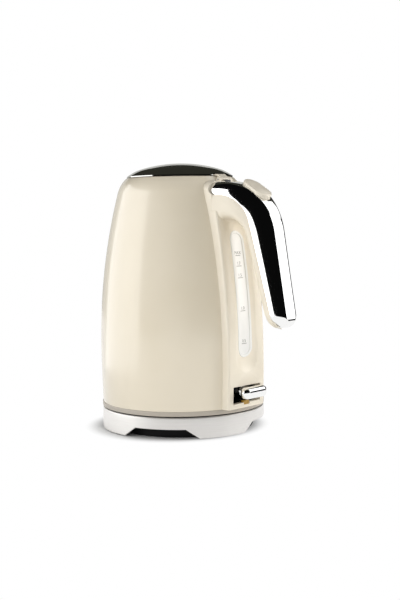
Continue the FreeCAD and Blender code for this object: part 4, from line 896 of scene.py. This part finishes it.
def turned(profile, spot, along, segments=64, power=2.0):
    """An outline of (distance, radius) points turned about a line; a power over 2 squares the section."""
    along = Vector(along)
    side = Vector((0, 0, 1))
    other = along.cross(side)
    rows = []
    for distance, radius in profile:
        centre = Vector(spot) + along * distance
        row = []
        for i in range(segments):
            t = 2 * math.pi * i / segments
            reach = radius / (abs(math.cos(t)) ** power + abs(math.sin(t)) ** power) ** (1 / power)
            row.append(tuple(centre + (side * math.cos(t) + other * math.sin(t)) * reach))
        rows.append(row)
    return skin("tool", rows)


capsule = []
for k in range(ROUND_STEPS + 1):
    turn = math.radians(-90 + 90 * k / ROUND_STEPS)
    distance = -BAR_HALF + BAR_RADIUS + BAR_RADIUS * math.sin(turn)
    capsule.append((distance, max(BAR_RADIUS * math.cos(turn), POLE_RADIUS)))
capsule += line(capsule[-1], (BAR_HALF - BAR_RADIUS, BAR_RADIUS), RUN_STEPS)
capsule += [(-distance, radius) for distance, radius in reversed(capsule[:ROUND_STEPS])]
lever = turned(capsule, (BAR_X, 0, LEVER_Z), (0, 1, 0), power=BAR_POWER)
lever.name = "switch_lever_chromed"
stem_end = BAR_X - PIVOT_X - BAR_RADIUS / 2
stem = [(0, STEM_RADIUS), (COLLAR_AT, STEM_RADIUS), (COLLAR_AT, COLLAR_RADIUS)]
stem += [(COLLAR_AT + COLLAR_LONG, COLLAR_RADIUS), (COLLAR_AT + COLLAR_LONG, NECK_RADIUS)]
stem += [(COLLAR_AT + 2 * COLLAR_LONG, NECK_RADIUS), (COLLAR_AT + 2 * COLLAR_LONG, STEM_RADIUS)]
stem += [(stem_end, STEM_RADIUS)]
boolean(lever, turned(stem, (PIVOT_X, 0, LEVER_Z), (1, 0, 0)), "UNION")
hub = [(-HUB_HALF, STEM_RADIUS - HUB_EASE), (HUB_HALF, STEM_RADIUS - HUB_EASE)]
boolean(lever, turned(hub, (PIVOT_X, 0, LEVER_Z), (0, 1, 0)), "UNION")
pin_hole = [(-2 * HUB_HALF, PIN_RADIUS), (2 * HUB_HALF, PIN_RADIUS)]
boolean(lever, turned(pin_hole, (PIVOT_X, 0, LEVER_Z), (0, 1, 0), 32), "DIFFERENCE")
dress(lever, "switch_lever")
print("switch lever:", len(lever.data.polygons), "faces")

# %% [markdown]
# The indicator lens is a small amber block in the sill of the notch, with its two front corners rounded.
# Only its front is clear amber: the rest is painted black, as painted shade that keeps the notch dark.

# %% Indicator lens
LENS_ROUND = 1.8
LENS_CLEAR = 3.0

lens_low, lens_high = low("indicator_lens"), high("indicator_lens")
corner = (lens_high.x - LENS_ROUND, lens_high.y)
plan = [(lens_low.x, lens_high.y), (lens_high.x - LENS_CLEAR, lens_high.y), corner]
plan += arc(corner, (lens_high.x, lens_high.y - LENS_ROUND), LENS_ROUND, -1, 8)
rows = []
for x, half in plan:
    rows.append([(x, y, z) for y, z in box_points(-half, lens_low.z, half, lens_high.z)])
lens = skin("indicator_lens_sleeved", rows)
for finish in (AMBER, BLACK):
    lens.data.materials.append(finish)
# Faces behind the clear front take the black: painted shade in the notch
for face in lens.data.polygons:
    face.material_index = int(face.center.x < (lens_high.x - LENS_CLEAR) * MM)
dress(lens, "indicator_lens")
print("indicator lens:", len(lens.data.polygons), "faces")

# %% [markdown]
# The gauge window is a clear moulding that follows the hollow of the housing. Its loops are one slot
# outline drawn in: a side wall, a small bevel, a flat rim, a step down, and the inner pane.

# %% Gauge window
SCOOP_RADIUS = 36.5
SCOOP_FLOOR = 1.2
SCOOP_TRACK = BARREL_ARC + SCOOP_FLOOR + SCOOP_RADIUS
GAUGE_DEPTH = 2.4
GAUGE_WALL = 0.1
GAUGE_BEVEL = 0.25
GAUGE_STEP = 0.4
RIM_IN = 2.1
STEP_IN = 2.6
STEP_SUNK = 0.1
PANE_SUNK = 0.15
PANE_IN = 3.4
PANE_MIDDLE = 6.0


def scoop_x(across, height, raised):
    """How far out the hollow's floor lies, raised by a step."""
    reach = SCOOP_TRACK - math.sqrt((SCOOP_RADIUS - raised) ** 2 - across**2)
    return BELLY_RADIUS - BARREL_ARC + math.sqrt(reach**2 - (height - BELLY_Z) ** 2)


def gauge_loop(inset, raised):
    """The window's outline drawn in by an inset, raised over the hollow."""
    half = max(GAUGE_HALF - inset, 0)
    shrink = GAUGE_HALF - half
    outline = slot_points(GAUGE_LOW + shrink, GAUGE_HIGH - shrink, half, 40, 16)
    return [(scoop_x(y, z, raised), y, z) for y, z in outline]


wall_back = []
for y, z in slot_points(GAUGE_LOW, GAUGE_HIGH, GAUGE_HALF, 40, 16):
    wall_back.append((math.sqrt((jug_radius(z) - GAUGE_DEPTH) ** 2 - y**2), y, z))
levels = [(0, GAUGE_WALL), (GAUGE_BEVEL, GAUGE_STEP), (RIM_IN, GAUGE_STEP), (STEP_IN, -STEP_SUNK)]
levels += [(inset, -PANE_SUNK) for inset in (PANE_IN, PANE_MIDDLE, GAUGE_HALF)]
rows = [wall_back] + [gauge_loop(inset, raised) for inset, raised in levels]
gauge = dress(skin("gauge_window_clear", rows, caps=(True, False), angle=25), "gauge_window")
print("gauge window:", len(gauge.data.polygons), "faces")

# %% [markdown]
# Level marks are printed on the window: small numbers in litres, each over a short bar, and a top mark.
# They are text and bars made flat first, as meshes, and then every point is laid on the window's hollow.
# A print has hardly any thickness, so the marks stand only a few hundredths proud.

# %% Level marks
MARKS = {"0.5": 83.0, "1.0": 112.0, "1.5": 141.3, "1.7": 151.7, "MAX": 161.0}
MARK_SIZE = 3.9
MARK_PROUD = 0.05
BAR_HALF_WIDTH = 3.2
BAR_HEIGHT = 0.45
BAR_DROP = 0.9
BAR_STEPS = 8


def printed(name, points, faces):
    """A flat print of (across, up) points laid on the window."""
    laid = [(scoop_x(y, z, MARK_PROUD - PANE_SUNK), y, z) for y, z in points]
    return mesh_object(name, laid, faces, 60)


def word_points(word, height):
    """A word's mesh in millimetres, with its middle on the window's middle line."""
    curve = bpy.data.curves.new(word, "FONT")
    curve.body = word
    curve.size = MARK_SIZE
    curve.align_x = "CENTER"
    curve.resolution_u = 4
    text = bpy.data.objects.new(word, curve)
    mesh = bpy.data.meshes.new_from_object(text)
    points = [(v.co.x, height + v.co.y) for v in mesh.vertices]
    faces = [tuple(face.vertices) for face in mesh.polygons]
    bpy.data.objects.remove(text)
    return points, faces


points = []
faces = []
for word, height in MARKS.items():
    word_spots, word_faces = word_points(word, height)
    faces += [tuple(len(points) + i for i in face) for face in word_faces]
    points += word_spots
    bar_top = height - BAR_DROP
    spots = [-BAR_HALF_WIDTH + 2 * BAR_HALF_WIDTH * k / BAR_STEPS for k in range(BAR_STEPS + 1)]
    first = len(points)
    points += [(y, bar_top - BAR_HEIGHT) for y in spots] + [(y, bar_top) for y in spots]
    upper = first + len(spots)
    faces += [(first + k, first + k + 1, upper + k + 1, upper + k) for k in range(BAR_STEPS)]
marks = printed("level_marks", points, faces)
marks.data.materials.append(INK)
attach(marks, "jug")
print("level marks:", len(marks.data.polygons), "faces")

# %% [markdown]
# The screws under the base and the cover are alike: a pan head with a cross recess on a plain shank.
# What repeats on a circle is a job for Geometry Nodes: one screw is built from cylinders and boxes,
# and copies stand on the points of a circle. The tree's inputs carry the sizes.

# %% Screw tree
def screw_tree():
    """The tree that grows a node's screws from its sizes."""
    tree = bpy.data.node_groups.new("screws_on_a_circle", "GeometryNodeTree")
    tree.interface.new_socket("Geometry", in_out="OUTPUT", socket_type="NodeSocketGeometry")
    tree.interface.new_socket("Count", in_out="INPUT", socket_type="NodeSocketInt")
    for name in ("Circle", "First Angle", "Head Bottom", "Head Radius", "Head Height"):
        tree.interface.new_socket(name, in_out="INPUT", socket_type="NodeSocketFloat")
    for name in ("Shank Radius", "Shank Length", "Recess Long", "Recess Wide", "Recess Deep"):
        tree.interface.new_socket(name, in_out="INPUT", socket_type="NodeSocketFloat")
    tree.interface.new_socket("Finish", in_out="INPUT", socket_type="NodeSocketMaterial")
    sizes = add(tree, "NodeGroupInput", {}).outputs

    head_disc = {"Vertices": 32, "Radius": sizes["Head Radius"], "Depth": sizes["Head Height"]}
    head = add(tree, "GeometryNodeMeshCylinder", head_disc)
    half = add(tree, "ShaderNodeMath", {0: sizes["Head Height"], 1: 0.5}, operation="MULTIPLY")
    head_up = add(tree, "ShaderNodeCombineXYZ", {"Z": half})
    head = add(tree, "GeometryNodeTransform", {"Geometry": head, "Translation": head_up})

    rod = {"Vertices": 24, "Radius": sizes["Shank Radius"], "Depth": sizes["Shank Length"]}
    shank = add(tree, "GeometryNodeMeshCylinder", rod)
    rod_half = add(tree, "ShaderNodeMath", {0: sizes["Shank Length"], 1: 0.5}, operation="MULTIPLY")
    rod_up = add(tree, "ShaderNodeMath", {0: rod_half, 1: half}, operation="ADD")
    rod_place = add(tree, "ShaderNodeCombineXYZ", {"Z": rod_up})
    shank = add(tree, "GeometryNodeTransform", {"Geometry": shank, "Translation": rod_place})

    long, wide = sizes["Recess Long"], sizes["Recess Wide"]
    deep = add(tree, "ShaderNodeMath", {0: sizes["Recess Deep"], 1: 2.0}, operation="MULTIPLY")
    blade = add(tree, "ShaderNodeCombineXYZ", {"X": long, "Y": wide, "Z": deep})
    cross_blade = add(tree, "ShaderNodeCombineXYZ", {"X": wide, "Y": long, "Z": deep})
    first_cut = add(tree, "GeometryNodeMeshCube", {"Size": blade})
    second_cut = add(tree, "GeometryNodeMeshCube", {"Size": cross_blade})

    screw = add(tree, "GeometryNodeMeshBoolean", {"Mesh 2": head}, operation="UNION", solver="EXACT")
    tree.links.new(shank.outputs[0], screw.inputs["Mesh 2"])
    cut = {"Mesh 1": screw, "Mesh 2": first_cut}
    screw = add(tree, "GeometryNodeMeshBoolean", cut, operation="DIFFERENCE", solver="EXACT")
    cut = {"Mesh 1": screw, "Mesh 2": second_cut}
    screw = add(tree, "GeometryNodeMeshBoolean", cut, operation="DIFFERENCE", solver="EXACT")

    spots = add(tree, "GeometryNodeMeshCircle", {"Vertices": sizes["Count"], "Radius": sizes["Circle"]})
    turn = add(tree, "ShaderNodeCombineXYZ", {"Z": sizes["First Angle"]})
    lift = add(tree, "ShaderNodeCombineXYZ", {"Z": sizes["Head Bottom"]})
    placed = {"Geometry": spots, "Translation": lift, "Rotation": turn}
    spots = add(tree, "GeometryNodeTransform", placed)
    copies = add(tree, "GeometryNodeInstanceOnPoints", {"Points": spots, "Instance": screw})
    real = add(tree, "GeometryNodeRealizeInstances", {"Geometry": copies})
    dressed = add(tree, "GeometryNodeSetMaterial", {"Geometry": real, "Material": sizes["Finish"]})
    add(tree, "NodeGroupOutput", {"Geometry": dressed})
    return tree


SCREWS = screw_tree()
SCREW_COUNT = 3
SCREW_RADIUS = 1.5
HEAD_RADIUS = 2.8
HEAD_HEIGHT = 1.4
RECESS = {"Recess Long": 3.2, "Recess Wide": 0.7, "Recess Deep": 0.8}


def screws(node, circle, first_angle):
    """A node's screws, grown by the tree and made a plain mesh."""
    bottom = low(node).z
    length = high(node).z - bottom - HEAD_HEIGHT / 2
    sizes = {"Circle": circle, "Head Bottom": bottom}
    sizes |= {"Head Radius": HEAD_RADIUS, "Head Height": HEAD_HEIGHT}
    sizes |= {"Shank Radius": SCREW_RADIUS, "Shank Length": length} | RECESS
    values = {name: size * MM for name, size in sizes.items()}
    values |= {"Count": SCREW_COUNT, "First Angle": math.radians(first_angle), "Finish": ZINC}
    made = bpy.data.objects.new(node + "_crossed", bpy.data.meshes.new(node))
    bpy.context.scene.collection.objects.link(made)
    modifier = made.modifiers.new("screws", "NODES")
    modifier.node_group = SCREWS
    for item in SCREWS.interface.items_tree:
        if item.in_out == "INPUT":
            modifier[item.identifier] = values[item.name]
    graph = bpy.context.evaluated_depsgraph_get()
    mesh = bpy.data.meshes.new_from_object(made.evaluated_get(graph))
    made.modifiers.clear()
    made.data = mesh
    soften(mesh, 30)
    return dress(made, node)


base_circle = high("base_screws").x - HEAD_RADIUS
cover_circle = -low("cover_screws").x - HEAD_RADIUS
for made in (screws("base_screws", base_circle, 0), screws("cover_screws", cover_circle, 60)):
    print(made.name, len(made.data.polygons), "faces")

# %% [markdown]
# Every other node has the right shape already. A merged copy shades smoothly where the solid is round
# and keeps its edges, takes its finish, and stands for the node. Two take another finish than their slot's:
# the lamp behind the lens is painted black, as painted shade that keeps the notch dark, and the lid's liner
# matches the cream of the handle.

# %% Pieces kept from the frame
remade = [made for made in bpy.data.objects if "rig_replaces" in made]
stood_for = {node for made in remade for node in made["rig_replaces"]}
# The lamp's black is painted shade that keeps the notch dark
OTHER_FINISH = {"indicator_lamp": BLACK, "lid_liner": CREAM}
for node in sorted(set(BODY) - stood_for):
    made = smooth_copy(node)
    if node in OTHER_FINISH:
        made.data.materials.append(OTHER_FINISH[node])
    dress(made, node)
print("kept", len(BODY) - len(stood_for), "shapes from the frame")

# %% [markdown]
# The stage is plain. The floor is matt and pale where the object stands, so that it keeps the shadow,
# and a step away it turns to the backdrop's white. That white is only what a picture or a mirror sees:
# the floor still lights the object as a matt floor does. From here on, sizes and places are in metres.

# %% Floor and backdrop
PURE_WHITE = "#FFFFFF"
FLOOR_RADIUS = 4.0
FLOOR_SIDES = 128
SHADOW_MIDDLE = (-0.0042, -0.0042, 0.0)
SHADOW_NEAR = 0.066
SHADOW_FAR = 0.088
SKY_ON_OBJECT = 0.3


def seen_directly(tree):
    """One for what the camera, a mirror or a window sees, and nought for light on its way to a surface."""
    rays = add(tree, "ShaderNodeLightPath", {}).outputs
    either = {0: rays["Is Camera Ray"], 1: rays["Is Glossy Ray"]}
    either = add(tree, "ShaderNodeMath", either, operation="MAXIMUM")
    return add(tree, "ShaderNodeMath", {0: either, 1: rays["Is Transmission Ray"]}, operation="MAXIMUM")


def studio_floor():
    # Matt pale floor near the object, pure white further out, also in reflections
    material, tree, place = start_finish("matt_pale_floor")
    apart = {0: place, 1: SHADOW_MIDDLE}
    apart = add(tree, "ShaderNodeVectorMath", apart, operation="DISTANCE").outputs["Value"]
    reach = {"Value": apart, "From Min": SHADOW_NEAR, "From Max": SHADOW_FAR}
    fade = add(tree, "ShaderNodeMapRange", reach, interpolation_type="SMOOTHSTEP")
    share = add(tree, "ShaderNodeMath", {0: fade, 1: seen_directly(tree)}, operation="MULTIPLY")
    matt = add(tree, "ShaderNodeBsdfDiffuse", {"Color": to_linear("#E6E6E4")})
    white = add(tree, "ShaderNodeEmission", {"Color": to_linear(PURE_WHITE), "Strength": 1.0})
    mixed = add(tree, "ShaderNodeMixShader", {0: share, 1: matt, 2: white})
    add(tree, "ShaderNodeOutputMaterial", {"Surface": mixed})
    return material


turns = [2 * math.pi * i / FLOOR_SIDES for i in range(FLOOR_SIDES)]
mesh = bpy.data.meshes.new("floor")
rim = [(FLOOR_RADIUS * math.cos(t), FLOOR_RADIUS * math.sin(t), 0) for t in turns]
mesh.from_pydata(rim, [], [tuple(range(FLOOR_SIDES))])
mesh.materials.append(studio_floor())
floor = bpy.data.objects.new("floor", mesh)
bpy.context.scene.collection.objects.link(floor)

world = bpy.data.worlds.new("white_studio")
bpy.context.scene.world = world
world.use_nodes = True
world.node_tree.nodes.clear()
sky_level = {"Value": seen_directly(world.node_tree), "To Min": SKY_ON_OBJECT, "To Max": 1.0}
level = add(world.node_tree, "ShaderNodeMapRange", sky_level)
sky = {"Color": to_linear(PURE_WHITE), "Strength": level}
sky = add(world.node_tree, "ShaderNodeBackground", sky)
add(world.node_tree, "ShaderNodeOutputWorld", {"Surface": sky})
print("floor and backdrop ready")

# %% [markdown]
# Three large soft lamps stand at the left, in front on the left, and at the right, so the barrel turns
# from light to shade and back. A low, weak one in front lifts the foot.
# Polished metal has no colour of its own: what stands round it decides whether it reads as metal.
# A studio hangs dark cloth on the camera's side and overhead and leaves the sides white, which draws the
# handle with a dark band between two bright ones. A board and a sheet high on the right carry the outer
# bright band up to the button. Cloths and boards here are seen by reflections alone.

# %% Lamps, cloths and boards
VIEW_TURN = math.radians(45)
LAMP_TARGET = Vector((0, 0, 0.12))
RAIL_STEPS = 48
BLACK_CLOTH = "#0A0A0A"


def around_view(turn, distance, height):
    """A place on the stage: an angle from the camera's side, to the right, a distance and a height."""
    a = VIEW_TURN + math.radians(turn)
    return Vector((math.sin(a) * distance, -math.cos(a) * distance, height))


def lamp(name, turn, distance, height, wide, tall, watts):
    """A soft lamp that faces the object. Reflections show the boards in its place."""
    data = bpy.data.lights.new(name, "AREA")
    data.shape = "RECTANGLE"
    data.size = wide
    data.size_y = tall
    data.energy = watts
    made = bpy.data.objects.new(name, data)
    made.location = around_view(turn, distance, height)
    made.rotation_euler = (LAMP_TARGET - made.location).to_track_quat("-Z", "Y").to_euler()
    made.visible_glossy = False
    made.visible_camera = False
    bpy.context.scene.collection.objects.link(made)


def cloth(name, rows, shade, strength=1.0):
    """A cloth or board over rows of points, which only reflections see."""
    material, tree, _ = start_finish(name)
    glow = add(tree, "ShaderNodeEmission", {"Color": to_linear(shade), "Strength": strength})
    add(tree, "ShaderNodeOutputMaterial", {"Surface": glow})
    n = len(rows[0])
    mesh = bpy.data.meshes.new(name)
    faces = [(k, k + 1, n + k + 1, n + k) for k in range(n - 1)]
    mesh.from_pydata([point for row in rows for point in row], [], faces)
    mesh.materials.append(material)
    made = bpy.data.objects.new(name, mesh)
    made.visible_camera = False
    made.visible_diffuse = False
    made.visible_shadow = False
    made.visible_transmission = False
    bpy.context.scene.collection.objects.link(made)


def rail(first, last, distance, height):
    """Points on a round rail, from one angle to another."""
    turns = [first + (last - first) * k / RAIL_STEPS for k in range(RAIL_STEPS + 1)]
    return [around_view(turn, distance, height) for turn in turns]


def curtain(name, first, last, distance, bottom, top, shade, strength=1.0):
    """A cloth or board that hangs from a round rail."""
    rows = [rail(first, last, distance, height) for height in (bottom, top)]
    cloth(name, rows, shade, strength)


def canopy(name, first, last, near, far, height, shade, strength=1.0):
    """A flat cloth or board between two round rails."""
    rows = [rail(first, last, distance, height) for distance in (near, far)]
    cloth(name, rows, shade, strength)


lamp("left_softbox", -72, 1.3, 0.62, 0.9, 1.1, 6.4)
lamp("front_softbox", -40, 1.4, 0.6, 1.0, 0.8, 4.5)
lamp("right_softbox", 92, 1.3, 0.5, 0.9, 0.9, 12.5)
lamp("low_fill", 10, 0.5, 0.05, 0.7, 0.1, 0.52)
curtain("left_board", -130, -60, 1.2, 0.0, 1.25, PURE_WHITE, 2.0)
canopy("left_sheet", -130, -60, 0.4, 1.2, 0.001, PURE_WHITE, 2.0)
curtain("right_board", 71, 104, 1.0, 0.0, 1.1, PURE_WHITE, 1.6)
curtain("upper_board", 104, 122, 1.0, 0.6, 0.9, PURE_WHITE, 1.6)
canopy("upper_sheet", 95, 122, 0.39, 1.0, 0.89, PURE_WHITE, 1.6)
curtain("right_card", 72, 110, 0.45, 0.0, 0.1, BLACK_CLOTH)
curtain("back_board", 165, 232, 1.5, 0.0, 0.8, "#C8C8C4")
curtain("front_cloth", -60, 72, 1.5, 0.0, 0.9, BLACK_CLOTH)
curtain("far_cloth", 103, 165, 1.5, 0.0, 0.9, "#101010")
canopy("front_canopy", -110, 110, 0.01, 2.2, 0.9, BLACK_CLOTH)
canopy("back_canopy", 110, 250, 0.01, 2.2, 0.9, "#32322C")
print("lamps and cloths ready")

# %% [markdown]
# The camera stands where the photograph was taken: nearly level with the lid, about a metre away.

# %% Camera
CAMERA_PLACE = Vector((0.6751, -0.6751, 0.1946))
PITCH = math.radians(4.66)
YAW = math.radians(1.02)
ROLL = math.radians(-0.86)
SENSOR_MM = 36.0
LENS_MM = 61.26

side = Vector((math.sin(VIEW_TURN), math.cos(VIEW_TURN), 0))
away = Vector((-math.cos(VIEW_TURN), math.sin(VIEW_TURN), 0))
level_sight = side * math.sin(YAW) + away * math.cos(YAW)
sight = level_sight * math.cos(PITCH) - Vector((0, 0, math.sin(PITCH)))
right = sight.cross(Vector((0, 0, 1))).normalized()
up = right.cross(sight)
rolled_right = right * math.cos(ROLL) + up * math.sin(ROLL)
rolled_up = up * math.cos(ROLL) - right * math.sin(ROLL)
turn = Matrix((rolled_right, rolled_up, -sight)).transposed()
camera_data = bpy.data.cameras.new("camera")
camera_data.sensor_fit = "VERTICAL"
camera_data.sensor_height = SENSOR_MM
camera_data.lens = LENS_MM
camera = bpy.data.objects.new("camera", camera_data)
camera.matrix_world = Matrix.Translation(CAMERA_PLACE) @ turn.to_4x4()
bpy.context.scene.collection.objects.link(camera)
bpy.context.scene.camera = camera
bpy.context.scene.view_settings.view_transform = "Standard"
print("camera at", [round(x, 3) for x in CAMERA_PLACE])
